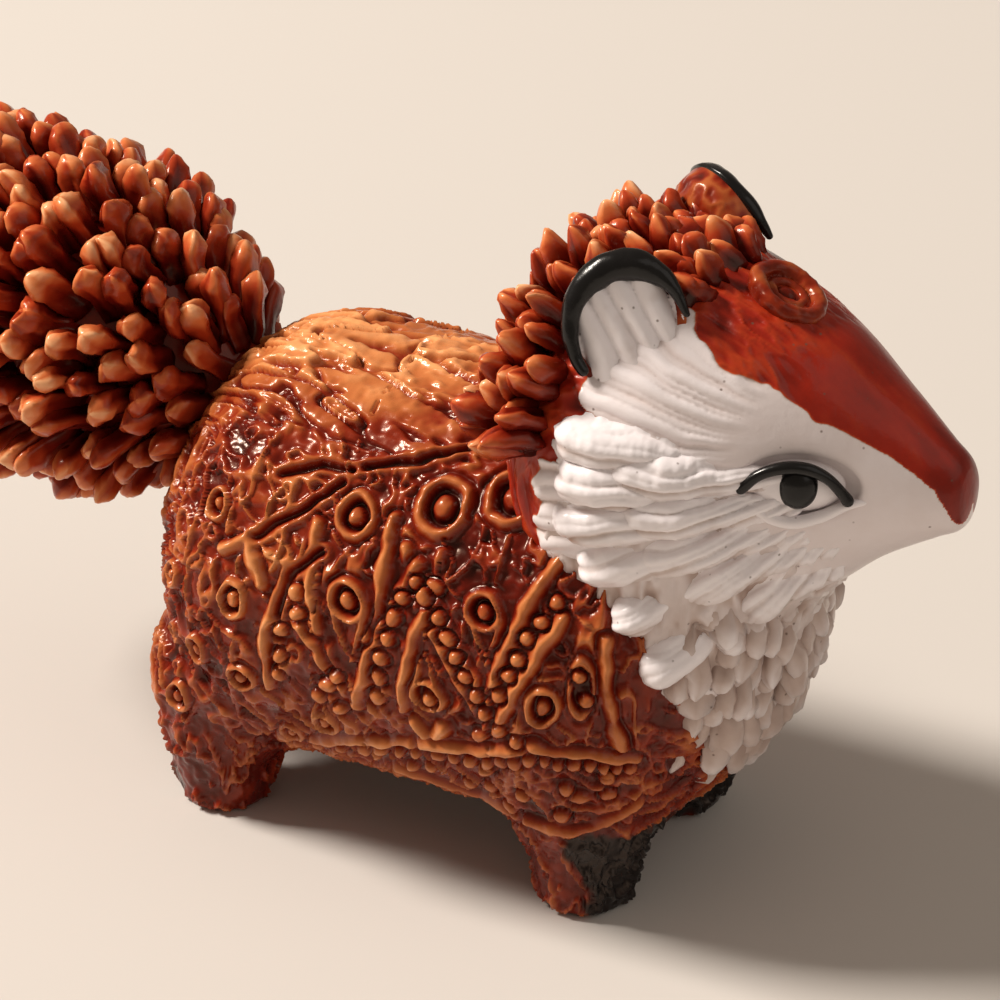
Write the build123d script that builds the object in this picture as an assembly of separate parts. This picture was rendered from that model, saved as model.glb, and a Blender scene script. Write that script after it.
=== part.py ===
from build123d import *
import math
import os

os.makedirs("parts", exist_ok=True)

# A small hand-modelled fox that stands on four stub legs, in millimetres.
# It looks along -Y, its right side is -X and the floor is z = 0.
# While it is built, y = 0 lies midway between the front feet.

# Driving sizes of the body and legs
barrel_radius = 11.2
barrel_axis_height = 14.0
barrel_length = 31.6
chest_y = -7.5
chest_rounding = 9.0
rump_rounding = 8.0
haunch_height = 7.6
haunch_radius = 3.6
haunch_start_height = 3.2
leg_spread = 10.4
leg_wheelbase = 20.8
leg_sole_radius = 2.45
leg_knee_radius = 3.2
leg_sole_bevel = 0.35

# Driving sizes of the carved flanks
relief_height = 0.25
ridge_width = 0.6
relief_root_depth = 0.4

# Driving sizes of the head
head_length = 25.7
head_width = 18.0
head_height = 20.0
head_nose_y = -18.2
head_base_height = 15.0

# Driving sizes of the tail
tail_root_inset = 1.1
tail_root_height = 20.4
tail_rise_degrees = 13.5
tail_core_length = 25.0
tail_core_radius = 6.7
tail_tip_length = 3.6
tail_row_count = 11
tail_first_row_share = -0.01
wire_radius = 0.6

# Driving sizes of the tufts
tuft_length = 4.4
tuft_width = 2.2
tuft_thickness = 0.95
tuft_splay_degrees = 37.0
tuft_greatest_splay_degrees = 60.0

# Section of one tuft as shares of its width and thickness, flat below and raised above
tuft_section_shares = [(-0.5, 0), (0.5, 0), (0.28, 1), (-0.28, 1)]

# Stations along one tuft as shares of its length, each with its scale against the foot
tuft_station_shares = [(0.55, 1), (1, 0.42)]
short_tuft_station_shares = [(1, 0.5)]

# Uneven lengths and sideways lean of the tufts in a row
tuft_length_shares = [1, 0.86, 0.95]
tuft_lean_share = 0.25

# Collar that joins the tufts of a row, as a share of a tuft's thickness
tuft_collar_share = 0.3

# Share of the space between two rows that a tuft's foot takes up
tuft_foot_share = 0.74

# The whole figure's overrun, used where one solid is cut through by another
overrun = 1.0


def point_between(table, key, column):
    """Straight-line reading of one column of a table of rows sorted by their first value."""
    if key <= table[0][0]:
        return table[0][column]
    for before, after in zip(table, table[1:]):
        if key <= after[0]:
            share = (key - before[0]) / (after[0] - before[0])
            return before[column] + share * (after[column] - before[column])
    return table[-1][column]


def solid_from_outlines(outlines):
    """A closed solid from the outlines of its flat faces."""
    return Solid(Shell([Face(Wire.make_polygon(outline)) for outline in outlines]))


def sides_between(lower, upper, twisted):
    """Outlines of the faces between two corner rings.

    Where the rings differ in form each face is halved, the same way on left and right.
    """
    outlines = []
    corners = len(lower)
    for first in range(corners):
        second = (first + 1) % corners
        if not twisted:
            outlines.append([lower[first], lower[second], upper[second], upper[first]])
        elif first < corners / 2:
            outlines.append([lower[first], lower[second], upper[second]])
            outlines.append([lower[first], upper[second], upper[first]])
        else:
            outlines.append([lower[first], lower[second], upper[first]])
            outlines.append([lower[second], upper[second], upper[first]])
    return outlines


def end_face(ring, twisted):
    """Outlines of the face that closes a corner ring, a fan where its corners aren't level."""
    if not twisted:
        return [ring]
    return [[ring[0], ring[number], ring[number + 1]] for number in range(1, len(ring) - 1)]


def solid_from_rings(rings, twisted=False):
    """A closed solid with flat faces through a stack of corner rings."""
    outlines = end_face(rings[0], twisted) + end_face(rings[-1], twisted)
    for lower, upper in zip(rings, rings[1:]):
        outlines += sides_between(lower, upper, twisted)
    return solid_from_outlines(outlines)


def loop_from_rings(rings):
    """A closed hoop with flat faces whose section runs once around through the rings."""
    outlines = []
    for lower, upper in zip(rings, rings[1:] + rings[:1]):
        outlines += sides_between(lower, upper, True)
    return solid_from_outlines(outlines)


def dome(plane, half_x, half_y, depth, corners, level_degrees):
    """A flat-faced dome: ovals that shrink from the plane toward the end of its depth."""
    rings = []
    for level in level_degrees:
        rise = depth * math.sin(math.radians(level))
        shrink = math.cos(math.radians(level))
        ring = []
        for number in range(corners):
            angle = 2 * math.pi * number / corners
            x = half_x * shrink * math.cos(angle)
            y = half_y * shrink * math.sin(angle)
            ring.append(plane.from_local_coords(Vector(x, y, rise)))
        rings.append(ring)
    return solid_from_rings(rings)


def prism(plane, half_x, half_y, height, corners):
    """An upright oval prism with flat faces."""
    rings = []
    for rise in (0, height):
        ring = []
        for number in range(corners):
            angle = 2 * math.pi * number / corners
            corner = Vector(half_x * math.cos(angle), half_y * math.sin(angle), rise)
            ring.append(plane.from_local_coords(corner))
        rings.append(ring)
    return solid_from_rings(rings)


def tuft(root, tip, outward, width, thickness):
    """One leaf-shaped tuft from its root to its rounded tip, domed on its outward side."""
    along = tip - root
    side = along.cross(outward).normalized()
    upward = side.cross(along).normalized()
    rings = []
    for length_share, scale_share in [(0, 1)] + tuft_station_shares:
        centre = root + along * length_share
        ring = []
        for width_share, thickness_share in tuft_section_shares:
            across = side * (width_share * width * scale_share)
            lift = upward * (thickness_share * thickness * scale_share)
            ring.append(centre + across + lift)
        rings.append(ring)
    return solid_from_rings(rings)


def lifted(ring, centre, rise):
    """The ring grown about its centre, so that its first corner moves out by a rise."""
    growth = 1 + rise / (ring[0] - centre).length
    return [centre + (corner - centre) * growth for corner in ring]


def tuft_row(near, far, near_top, far_top, reaches, stations, closed):
    """One band of tufts side by side, from corner rows on the surface that carries it.

    near and far are the band's two edges on that surface and near_top and far_top the same
    edges lifted off it. Each reach leads from the foot of a tuft to its tip.
    """
    outlines = []
    for first, reach in enumerate(reaches):
        second = (first + 1) % len(near)
        foot = [near_top[first], near_top[second], far_top[second], far_top[first]]
        middle = (foot[0] + foot[1] + foot[2] + foot[3]) / 4
        lower = foot
        for length_share, scale_share in stations:
            centre = middle + reach * length_share
            upper = [centre + (corner - middle) * scale_share for corner in foot]
            for corner in range(4):
                beside = (corner + 1) % 4
                outlines.append([lower[corner], lower[beside], upper[beside], upper[corner]])
            lower = upper
        outlines.append(lower)
        outlines.append([near[first], near[second], far[second], far[first]])
        outlines.append([near[first], near[second], near_top[second], near_top[first]])
        outlines.append([far[first], far[second], far_top[second], far_top[first]])
    if not closed:
        for end in (0, -1):
            outlines.append([near[end], far[end], far_top[end], near_top[end]])
    return solid_from_outlines(outlines)


def length_share(number, count):
    """Uneven lengths along a row, the same on the left and on the right."""
    from_end = min(number, count - 1 - number)
    return tuft_length_shares[from_end % len(tuft_length_shares)]


def between(first_ring, second_ring, share):
    """The ring at a share of the way from one ring to another."""
    return [a + (b - a) * share for a, b in zip(first_ring, second_ring)]


def largest(shape):
    """The biggest solid of a shape."""
    return shape.solids().sort_by(SortBy.VOLUME)[-1]


def joined(solids):
    """One solid from several that overlap."""
    if len(solids) == 1:
        return solids[0]
    return largest(solids[0].fuse(*solids[1:]))


def near(first, second):
    """True when the boxes of two shapes meet."""
    a = first.bounding_box()
    b = second.bounding_box()
    apart_x = a.min.X > b.max.X or b.min.X > a.max.X
    apart_y = a.min.Y > b.max.Y or b.min.Y > a.max.Y
    apart_z = a.min.Z > b.max.Z or b.min.Z > a.max.Z
    return not (apart_x or apart_y or apart_z)


def seated(piece, carriers):
    """The piece with the room of its carriers cut away, so that it sits on them face to face."""
    touching = [carrier for carrier in carriers if near(piece, carrier)]
    if not touching:
        return piece
    return largest(piece.cut(*touching))


def mirrored(shape):
    """The same piece on the fox's other side."""
    return shape.mirror(Plane.YZ)


def rod(start, end, radius):
    """A straight round wire."""
    direction = end - start
    return Plane(start, z_dir=direction) * Cylinder(
        radius, direction.length, align=(Align.CENTER, Align.CENTER, Align.MIN)
    )


# Body: a barrel with flats that tapers along a rounding at each end
barrel_flats = 36
chest_taper_degrees = [0, 25, 50, 70, 90]
rump_taper_degrees = [90, 70, 52, 34, 17, 0]


def end_taper(end_y, rounding, degrees, inward):
    """Station and radius on an end's rounding, at an angle from its flat end."""
    angle = math.radians(degrees)
    radius = barrel_radius - rounding + rounding * math.sin(angle)
    return end_y + inward * rounding * (1 - math.cos(angle)), radius


def barrel_ring(y, radius):
    """Corners of the barrel at a station."""
    ring = []
    for number in range(barrel_flats):
        angle = 2 * math.pi * number / barrel_flats
        height = barrel_axis_height + radius * math.sin(angle)
        ring.append(Vector(radius * math.cos(angle), y, height))
    return ring


def make_body():
    rump_y = chest_y + barrel_length
    levels = [end_taper(chest_y, chest_rounding, degrees, 1) for degrees in chest_taper_degrees]
    levels += [end_taper(rump_y, rump_rounding, degrees, -1) for degrees in rump_taper_degrees]
    return solid_from_rings([barrel_ring(y, radius) for y, radius in levels])


# Carving that stands out on the right flank. A place is a pair of shares of the barrel's radius:
# how far behind the front feet, and how far up around the flank from the barrel's axis.
# Each ring: place, then half its length and half its height as shares of the same radius.
ring_corners = 8
ring_hole_share = 0.6
flank_ring_shares = [
    (0.96, 0.66, 0.09, 0.1),
    (0.58, 0.8, 0.125, 0.13),
    (0.28, 0.92, 0.125, 0.125),
    (0.92, 0.28, 0.1, 0.1),
    (0.26, 0.4, 0.1, 0.1),
    (1.47, 0.14, 0.065, 0.1),
    (-0.05, 0.02, 0.075, 0.105),
    (-0.22, 0.13, 0.07, 0.165),
]
flank_ridge_shares = [
    [(0.69, 0.58), (0.46, 0.32), (0.2, 0)],
    [(-0.02, 0.74), (0.09, 0.4), (0.2, 0)],
    [(1.17, 0.17), (1.04, 0.01), (0.87, -0.25)],
    [(0.61, 0.53), (0.75, 0.19), (0.87, -0.25)],
    [(0.92, -0.52), (0.56, -0.39), (0.25, -0.32), (0, -0.21)],
]


def flank_point(along_share, around_share, lift):
    """Point on the right flank at a place, lifted off the barrel."""
    along = along_share * barrel_radius
    around = math.radians(180) - around_share
    front = chest_y + chest_rounding
    radius = barrel_radius
    y = along
    if along < front:
        turn = (front - along) / chest_rounding
        radius = barrel_radius - chest_rounding * (1 - math.cos(turn))
        y = front - chest_rounding * math.sin(turn)
    reach = radius + lift
    return Vector(reach * math.cos(around), y, barrel_axis_height + reach * math.sin(around))


def make_flank_ring(along_share, around_share, half_along_share, half_around_share):
    """A raised hoop on the flank."""
    rings = []
    for lift, size_share in (
        (-relief_root_depth, 1), (relief_height, 1),
        (relief_height, ring_hole_share), (-relief_root_depth, ring_hole_share),
    ):
        middle = flank_point(along_share, around_share, lift)
        beside = flank_point(along_share + half_along_share, around_share, lift) - middle
        above = flank_point(along_share, around_share + half_around_share, lift) - middle
        ring = []
        for number in range(ring_corners):
            angle = 2 * math.pi * number / ring_corners
            corner = beside * math.cos(angle) + above * math.sin(angle)
            ring.append(middle + corner * size_share)
        rings.append(ring)
    return loop_from_rings(rings)


def make_flank_ridge(places):
    """A raised line on the flank through some places."""
    rings = []
    for number, (along_share, around_share) in enumerate(places):
        before = places[max(number - 1, 0)]
        after = places[min(number + 1, len(places) - 1)]
        run = math.hypot(after[0] - before[0], after[1] - before[1])
        half = ridge_width / 2 / barrel_radius
        across = -(after[1] - before[1]) / run * half
        upward = (after[0] - before[0]) / run * half
        ring = []
        for side, lift in (
            (-1, -relief_root_depth), (-1, relief_height), (1, relief_height), (1, -relief_root_depth),
        ):
            place = (along_share + side * across, around_share + side * upward)
            ring.append(flank_point(*place, lift))
        rings.append(ring)
    return solid_from_rings(rings, twisted=True)


# Legs
leg_flats = 12
haunch_shoulder_share = 0.7
haunch_crown_share = 0.72
haunch_top_share = 0.3


def make_leg(side, y):
    """A stub leg, squeezed to shape with flats, that widens from its sole to a domed haunch."""
    levels = [
        (0, leg_sole_radius - leg_sole_bevel),
        (leg_sole_bevel, leg_sole_radius),
        (haunch_start_height, leg_knee_radius),
        (haunch_height, haunch_radius),
        (haunch_height + haunch_radius * haunch_shoulder_share, haunch_radius * haunch_crown_share),
        (haunch_height + haunch_radius, haunch_radius * haunch_top_share),
    ]
    rings = []
    for height, radius in levels:
        centre = Vector(side * leg_spread / 2, y, height)
        rings.append(flat_ring(centre, radius, leg_flats))
    return solid_from_rings(rings)


def flat_ring(centre, radius, corners):
    """Corners of a level polygon."""
    ring = []
    for number in range(corners):
        angle = 2 * math.pi * (number + 0.5) / corners
        ring.append(centre + Vector(radius * math.cos(angle), radius * math.sin(angle), 0))
    return ring


def barrel_reach(y):
    """Radius of the barrel at a station along it."""
    front = chest_y + chest_rounding
    rear = chest_y + barrel_length - rump_rounding
    if y < front:
        inside = max(chest_rounding ** 2 - (front - y) ** 2, 0)
        return barrel_radius - chest_rounding + math.sqrt(inside)
    if y > rear:
        inside = max(rump_rounding ** 2 - (y - rear) ** 2, 0)
        return barrel_radius - rump_rounding + math.sqrt(inside)
    return barrel_radius


# Head: a drop that is pointed at the nose, with flats between upright ovals.
# Each station: share of the head's length, half width, underside and top,
# the last three as shares of half the head's width and of its height.
head_flats = 22
head_station_shares = [
    (0, 0.06, 0.48, 0.55),
    (0.012, 0.14, 0.43, 0.595),
    (0.062, 0.222, 0.39, 0.65),
    (0.163, 0.372, 0.31, 0.755),
    (0.28, 0.567, 0.18, 0.87),
    (0.416, 0.778, 0.075, 0.945),
    (0.572, 0.944, 0.01, 0.99),
    (0.7, 1, 0, 0.965),
    (0.8, 0.9, 0.1, 0.87),
    (0.88, 0.6, 0.3, 0.72),
]


def head_oval(y):
    """Half width, centre height and half height of the head at a station."""
    share = (y - head_nose_y) / head_length
    half_width = point_between(head_station_shares, share, 1) * head_width / 2
    underside = head_base_height + point_between(head_station_shares, share, 2) * head_height
    top = head_base_height + point_between(head_station_shares, share, 3) * head_height
    return half_width, (underside + top) / 2, (top - underside) / 2


def make_head():
    """The head, pressed in flats between its ovals."""
    rings = []
    for share, width_share, under_share, top_share in head_station_shares:
        y = head_nose_y + share * head_length
        rings.append([head_point(y, 360 * number / head_flats) for number in range(head_flats)])
    return solid_from_rings(rings, twisted=True)


def head_point(y, angle_degrees):
    """Point on the head at a station, its angle counted from the top toward +X."""
    half_width, centre, half_height = head_oval(y)
    angle = math.radians(angle_degrees)
    return Vector(half_width * math.sin(angle), y, centre + half_height * math.cos(angle))


def head_place(place_shares):
    """Point on the right of the head, at shares of its half width, its length and its height."""
    side_share, along_share, height_share = place_shares
    y = head_nose_y + along_share * head_length
    return Vector(-side_share * head_width / 2, y, head_base_height + height_share * head_height)


def head_outward(y, angle_degrees):
    """Outward direction of the head's oval at that point."""
    half_width, centre, half_height = head_oval(y)
    angle = math.radians(angle_degrees)
    return Vector(math.sin(angle) / half_width, 0, math.cos(angle) / half_height).normalized()


def side_reach(y, z):
    """How far head or body stands out sideways at a height."""
    half_width, centre, half_height = head_oval(y)
    inside_head = max(1 - ((z - centre) / half_height) ** 2, 0)
    inside_body = max(barrel_reach(y) ** 2 - (z - barrel_axis_height) ** 2, 0)
    return max(half_width * math.sqrt(inside_head), math.sqrt(inside_body))


# Eyes: a shallow almond bead in a socket, a domed pupil and two lids
eye_place_shares = (19 / 36, 143 / 514, 0.56)
eye_length = 4.9
eye_opening = 2.7
eye_depth = 1.5
pupil_length = 2.2
pupil_depth = 1.9
lid_width = 0.55
lid_stand_out = 0.35
eye_facing = (-0.86, -0.5, 0.08)
eye_long_axis = (0.5, -0.86, -0.06)
eye_corners = 14
eye_level_degrees = [-60, -30, 0, 30, 60]
pupil_corners = 10
pupil_level_degrees = [-60, 0, 30, 60]


def eye_plane():
    """Frame of the right eye: x along the eye toward the nose, z outward."""
    return Plane(head_place(eye_place_shares), x_dir=eye_long_axis, z_dir=eye_facing)


def make_eye():
    half_x = eye_length / 2
    half_y = eye_opening / 2
    return dome(eye_plane(), half_x, half_y, eye_depth / 2, eye_corners, eye_level_degrees)


def make_pupil():
    half = pupil_length / 2
    return dome(eye_plane(), half, half, pupil_depth / 2, pupil_corners, pupil_level_degrees)


def make_lid(upper):
    """Half of an oval band around the eye."""
    reach = eye_depth
    outer_x = eye_length / 2 + lid_width
    outer_y = eye_opening / 2 + lid_width
    back = eye_plane().offset(-reach)
    height = reach + lid_stand_out
    band = prism(back, outer_x, outer_y, height, eye_corners)
    band = band - prism(back, eye_length / 2, eye_opening / 2, height, eye_corners)
    half = Box(
        outer_x * 2 + overrun, outer_y + overrun, reach * 2 + overrun,
        align=(Align.CENTER, Align.MIN if upper else Align.MAX, Align.CENTER),
    )
    return largest(band & eye_plane() * half)


# Forehead ornament: an oval ring with a domed bead in it
boss_along_share = 102 / 257
boss_length = 4.2
boss_width = 3.7
boss_ring_thickness = 0.9
boss_tilt_degrees = 27.0
boss_corners = 14
boss_ring_height_share = 2.2
boss_bead_height_share = 1.5
boss_ring_level_degrees = [0, 30, 50]
boss_bead_level_degrees = [0, 35, 65]


def boss_plane():
    top = head_point(head_nose_y + boss_along_share * head_length, 0)
    tilt = math.radians(boss_tilt_degrees)
    return Plane(top, x_dir=(1, 0, 0), z_dir=(0, -math.sin(tilt), math.cos(tilt)))


def make_boss_ring():
    half_x = boss_width / 2
    half_y = boss_length / 2
    inner_x = half_x - boss_ring_thickness
    inner_y = half_y - boss_ring_thickness
    foot = boss_plane().offset(-boss_ring_thickness)
    height = boss_ring_thickness * boss_ring_height_share
    ring = dome(foot, half_x, half_y, height, boss_corners, boss_ring_level_degrees)
    hole_height = height + 2 * overrun
    opening = prism(foot.offset(-overrun), inner_x, inner_y, hole_height, boss_corners)
    return largest(ring - opening)


def make_boss_bead():
    half_x = boss_width / 2 - boss_ring_thickness
    half_y = boss_length / 2 - boss_ring_thickness
    foot = boss_plane().offset(-boss_ring_thickness)
    rise = boss_ring_thickness * boss_bead_height_share
    return dome(foot, half_x, half_y, rise, boss_corners, boss_bead_level_degrees)


# Ears: a scooped shell, a rolled rim on its edge and a lining in the scoop
ear_place_shares = (11 / 18, 161 / 257, 0.92)
ear_width = 6.0
ear_length = 7.4
ear_depth = 2.6
ear_wall = 0.7
ear_lining_thickness = 0.55
ear_rim_thickness = 0.7
ear_rim_width = 0.95
ear_facing = (-0.86, -0.447, 0.247)
ear_up = (0.219, 0.114, 0.969)
ear_corners = 14
ear_level_degrees = [0, 25, 50, 75]
ear_rim_level_degrees = [0, 30]
rim_end_share = 0.22


def ear_plane():
    """Frame of the right ear: y up along the ear, z out of its opening."""
    plane = Plane(head_place(ear_place_shares), z_dir=ear_facing)
    across = Vector(ear_up).cross(Vector(ear_facing)).normalized()
    return Plane(plane.origin, x_dir=across, z_dir=ear_facing)


def ear_scoop(inset):
    """A half ellipsoid behind the ear's opening, smaller by an inset all round."""
    half_x = ear_width / 2 - inset
    half_y = ear_length / 2 - inset
    depth = ear_depth - inset
    return dome(ear_plane(), half_x, half_y, -depth, ear_corners, ear_level_degrees)


def make_ear_shell():
    return largest(ear_scoop(0) - ear_scoop(ear_wall))


def make_ear_lining():
    return largest(ear_scoop(ear_wall) - ear_scoop(ear_wall + ear_lining_thickness))


def make_ear_rim():
    """A raised band on the scoop's edge, open below where the ear runs into the cheek."""
    half_x = ear_width / 2
    half_y = ear_length / 2
    base = ear_plane()
    band = dome(base, half_x, half_y, ear_rim_thickness, ear_corners, ear_rim_level_degrees)
    opening = prism(
        base.offset(-overrun), half_x - ear_rim_width, half_y - ear_rim_width,
        ear_rim_thickness + 2 * overrun, ear_corners,
    )
    below = Pos(0, -ear_length * rim_end_share, 0) * Box(
        ear_width + overrun, ear_length, ear_rim_thickness * 2 + overrun,
        align=(Align.CENTER, Align.MAX, Align.CENTER),
    )
    return largest(band - opening - base * below)


# Tail: a turned core with rings of tufts that lap over each other
# Each station of the core: share of its length and share of its greatest radius.
tail_core_shares = [
    (-0.16, 0.4),
    (-0.01, 0.42),
    (0.1, 0.68),
    (0.2, 0.88),
    (0.36, 1),
    (0.56, 0.95),
    (0.78, 0.7),
    (1, 0.32),
]
tail_core_flats = 14
tail_tip_level_degrees = [0, 30, 60, 80]


def tail_axis():
    rise = math.radians(tail_rise_degrees)
    return Vector(0, math.cos(rise), math.sin(rise))


def tail_point(along, radius, angle):
    """Point at a distance along the tail's axis, off it by a radius at an angle."""
    axis = tail_axis()
    across = Vector(1, 0, 0)
    upward = across.cross(axis)
    root = Vector(0, chest_y + barrel_length - tail_root_inset, tail_root_height)
    return root + axis * along + (across * math.cos(angle) + upward * math.sin(angle)) * radius


def tail_radius(along):
    return point_between(tail_core_shares, along / tail_core_length, 1) * tail_core_radius


def tail_ring(along):
    """Corners of the core at a distance along the tail's axis."""
    ring = []
    for number in range(tail_core_flats):
        angle = 2 * math.pi * number / tail_core_flats
        ring.append(tail_point(along, tail_radius(along), angle))
    return ring


def tail_stations():
    """Where the rows of tufts start, and the end of the core."""
    first = tail_first_row_share * tail_core_length
    pitch = (tail_core_length - first) / tail_row_count
    return [first + number * pitch for number in range(tail_row_count + 1)]


def make_tail_core():
    """The core is rolled with flats, on which the tufts are pressed."""
    inner_end = tail_core_shares[0][0] * tail_core_length
    return solid_from_rings([tail_ring(along) for along in [inner_end] + tail_stations()])


def make_tail_tip():
    """The last bud, on the flat end of the core."""
    base_radius = tail_radius(tail_core_length)
    start = tail_point(tail_core_length, 0, 0)
    plane = Plane(start, x_dir=(1, 0, 0), z_dir=tail_axis())
    flats = tail_core_flats
    return dome(plane, base_radius, base_radius, tail_tip_length, flats, tail_tip_level_degrees)


def make_tail_row(index):
    """One ring of tufts around the tail's core, leaning sideways in every other row."""
    start, end = tail_stations()[index:index + 2]
    near = tail_ring(start)
    far = between(near, tail_ring(end), tuft_foot_share)
    foot_end = start + (end - start) * tuft_foot_share
    collar = tuft_thickness * tuft_collar_share
    near_top = lifted(near, tail_point(start, 0, 0), collar)
    far_top = lifted(far, tail_point(foot_end, 0, 0), collar)
    slope = math.atan2(tail_radius(end) - tail_radius(start), end - start)
    splay = slope + math.radians(tuft_splay_degrees)
    splay = min(splay, math.radians(tuft_greatest_splay_degrees))
    reaches = []
    for number in range(tail_core_flats):
        angle = 2 * math.pi * (number + 0.5) / tail_core_flats
        outward = tail_point(0, 1, angle) - tail_point(0, 0, angle)
        sideways = tail_axis().cross(outward) * (tuft_lean_share * (index % 2))
        length = tuft_length * tuft_length_shares[number % len(tuft_length_shares)]
        direction = tail_axis() * math.cos(splay) + outward * math.sin(splay) + sideways
        reaches.append(direction * length)
    return tuft_row(near, far, near_top, far_top, reaches, tuft_station_shares, True)


# Mane: arcs of tufts over the crown and down the nape.
# Each row: station along the head as a share of its length, how far it reaches down
# each side in degrees from the top, and the angle at which its tufts stand up.
mane_row_shares = [0.5, 0.58, 0.66, 0.74, 0.815]
mane_row_reach_degrees = [18, 20, 22, 88, 96]
mane_row_lift_degrees = [52, 50, 44, 42, 34]
mane_row_foot = 1.6
mane_tuft_length = 2.9
mane_bury_share = 0.08
mane_collar_share = 0.03


def mane_ring(station_y, carried_y, growth_share, angles):
    """Corners on the oval of one station, moved and scaled to another station."""
    first = head_oval(carried_y)
    second = head_oval(station_y)
    scale_share = second[2] / first[2] * (1 + growth_share)
    ring = []
    for angle in angles:
        x = first[0] * math.sin(math.radians(angle)) * scale_share
        z = first[2] * math.cos(math.radians(angle)) * scale_share
        ring.append(Vector(x, station_y, second[1] + z))
    return ring


def make_mane_row(index):
    y = head_nose_y + mane_row_shares[index] * head_length
    reach = mane_row_reach_degrees[index]
    lift = math.radians(mane_row_lift_degrees[index])
    arc = 2 * math.radians(reach) * head_oval(y)[0]
    count = round(arc / tuft_width)
    angles = [reach * (2 * number / count - 1) for number in range(count + 1)]
    foot_y = y + mane_row_foot
    near = mane_ring(y, y, -mane_bury_share, angles)
    far = mane_ring(foot_y, y, -mane_bury_share, angles)
    near_top = mane_ring(y, y, mane_collar_share, angles)
    far_top = mane_ring(foot_y, y, mane_collar_share, angles)
    reaches = []
    for number in range(count):
        outward = head_outward(y, (angles[number] + angles[number + 1]) / 2)
        direction = Vector(0, 1, 0) * math.cos(lift) + outward * math.sin(lift)
        length = mane_tuft_length * length_share(number, count)
        reaches.append(direction * length)
    return tuft_row(near, far, near_top, far_top, reaches, short_tuft_station_shares, False)


# Bib: an apron of fur on the chest with rows of hanging tufts, one row to each of its flats
bib_side_inset = 0.7
bib_width = head_width - 2 * bib_side_inset
bib_depth = 12.4
bib_height = 21.6
bib_chest_inset = 4.0
bib_y = chest_y + bib_chest_inset
bib_centre_height = 17.4
bib_corners = 20
bib_level_degrees = [-62, -46, -32, -19, -6, 7, 20, 40]
bib_row_spread = [3, 3, 4, 4, 4]
bib_tuft_length = 2.2
bib_tuft_thickness = 0.9
bib_splay_degrees = 30


def bib_ring(level_degrees, growth):
    """Corners of the apron at a level, front corner first, grown outward by an amount."""
    level = math.radians(level_degrees)
    ring = []
    for number in range(bib_corners):
        azimuth = 2 * math.pi * number / bib_corners
        x = bib_width / 2 * math.cos(level) * math.sin(azimuth)
        y = bib_depth / 2 * math.cos(level) * math.cos(azimuth)
        z = bib_height / 2 * math.sin(level)
        scale_share = 1 + growth / (bib_depth / 2 * math.cos(level))
        ring.append(Vector(x * scale_share, bib_y - y * scale_share, bib_centre_height + z))
    return ring


def make_bib():
    return solid_from_rings([bib_ring(level, 0) for level in bib_level_degrees])


def make_bib_row(index):
    """Tufts that hang from one level of the apron, as many to each side of its middle."""
    lower_level, upper_level = bib_level_degrees[index:index + 2]
    spread = bib_row_spread[index]
    collar = bib_tuft_thickness * tuft_collar_share
    picks = range(-spread, spread + 1)

    def front(ring):
        return [ring[pick] for pick in picks]

    near = front(bib_ring(upper_level, 0))
    near_top = front(bib_ring(upper_level, collar))
    far = between(near, front(bib_ring(lower_level, 0)), tuft_foot_share)
    far_top = between(near_top, front(bib_ring(lower_level, collar)), tuft_foot_share)
    splay = math.radians(max(bib_splay_degrees, -(lower_level + upper_level) / 2))
    reaches = []
    for number in range(2 * spread):
        down = (far[number] + far[number + 1] - near[number] - near[number + 1]).normalized()
        along = near[number + 1] - near[number]
        outward = down.cross(along).normalized()
        if outward.Y > 0:
            outward = outward * -1
        length = bib_tuft_length * length_share(number, 2 * spread)
        reaches.append((down * math.cos(splay) + outward * math.sin(splay)) * length)
    return tuft_row(near, far, near_top, far_top, reaches, short_tuft_station_shares, False)


# Cheek ruff: two rows of broad locks on each side of the face.
# Each lock's tip: distance behind the nose and height above the head's base,
# as shares of the head's length and height, with its fall in degrees from level.
outer_lock_shares = [
    (0.71, 0.66, -6),
    (0.7, 0.55, 2),
    (0.7, 0.43, 12),
    (0.66, 0.29, 30),
    (0.58, 0.155, 48),
    (0.52, 0.02, 60),
]
inner_lock_shares = [
    (0.6, 0.6, -4),
    (0.57, 0.48, 8),
    (0.55, 0.35, 22),
    (0.49, 0.24, 38),
    (0.43, 0.12, 54),
]
lock_length = 5.2
lock_width = 3.5
lock_thickness = 1.1
lock_lift = 0.35


def make_lock_row(shares):
    """One row of locks on the right cheek."""
    locks = []
    for along_share, height_share, fall_degrees in shares:
        y = head_nose_y + along_share * head_length
        z = head_base_height + height_share * head_height
        fall = math.radians(fall_degrees)
        root_y = y - lock_length * math.cos(fall)
        root_z = z + lock_length * math.sin(fall)
        tip = Vector(-side_reach(y, z) - lock_lift, y, z)
        root = Vector(-side_reach(root_y, root_z) + lock_thickness / 2, root_y, root_z)
        locks.append(tuft(root, tip, Vector(-1, 0, 0), lock_width, lock_thickness))
    return joined(locks)


# Inside: the wire that pins the tail to the body
wire_reach_back = 9.0
wire_reach_out = 17.0


# Put the figure together, each piece seated on those that carry it
pieces = {}

tail_wire = rod(tail_point(-wire_reach_back, 0, 0), tail_point(wire_reach_out, 0, 0), wire_radius)
pieces["tail_wire"] = tail_wire

carving = [make_flank_ring(*shares) for shares in flank_ring_shares]
carving += [make_flank_ridge(places) for places in flank_ridge_shares]
carving += [mirrored(shape) for shape in carving]
body = joined([make_body()] + carving)
pieces["body"] = largest(body.cut(tail_wire))

for end_name, leg_y in (("front", 0), ("rear", leg_wheelbase)):
    for side_name, side in (("right", -1), ("left", 1)):
        pieces[f"{end_name}_{side_name}_leg"] = seated(make_leg(side, leg_y), [body])

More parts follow.
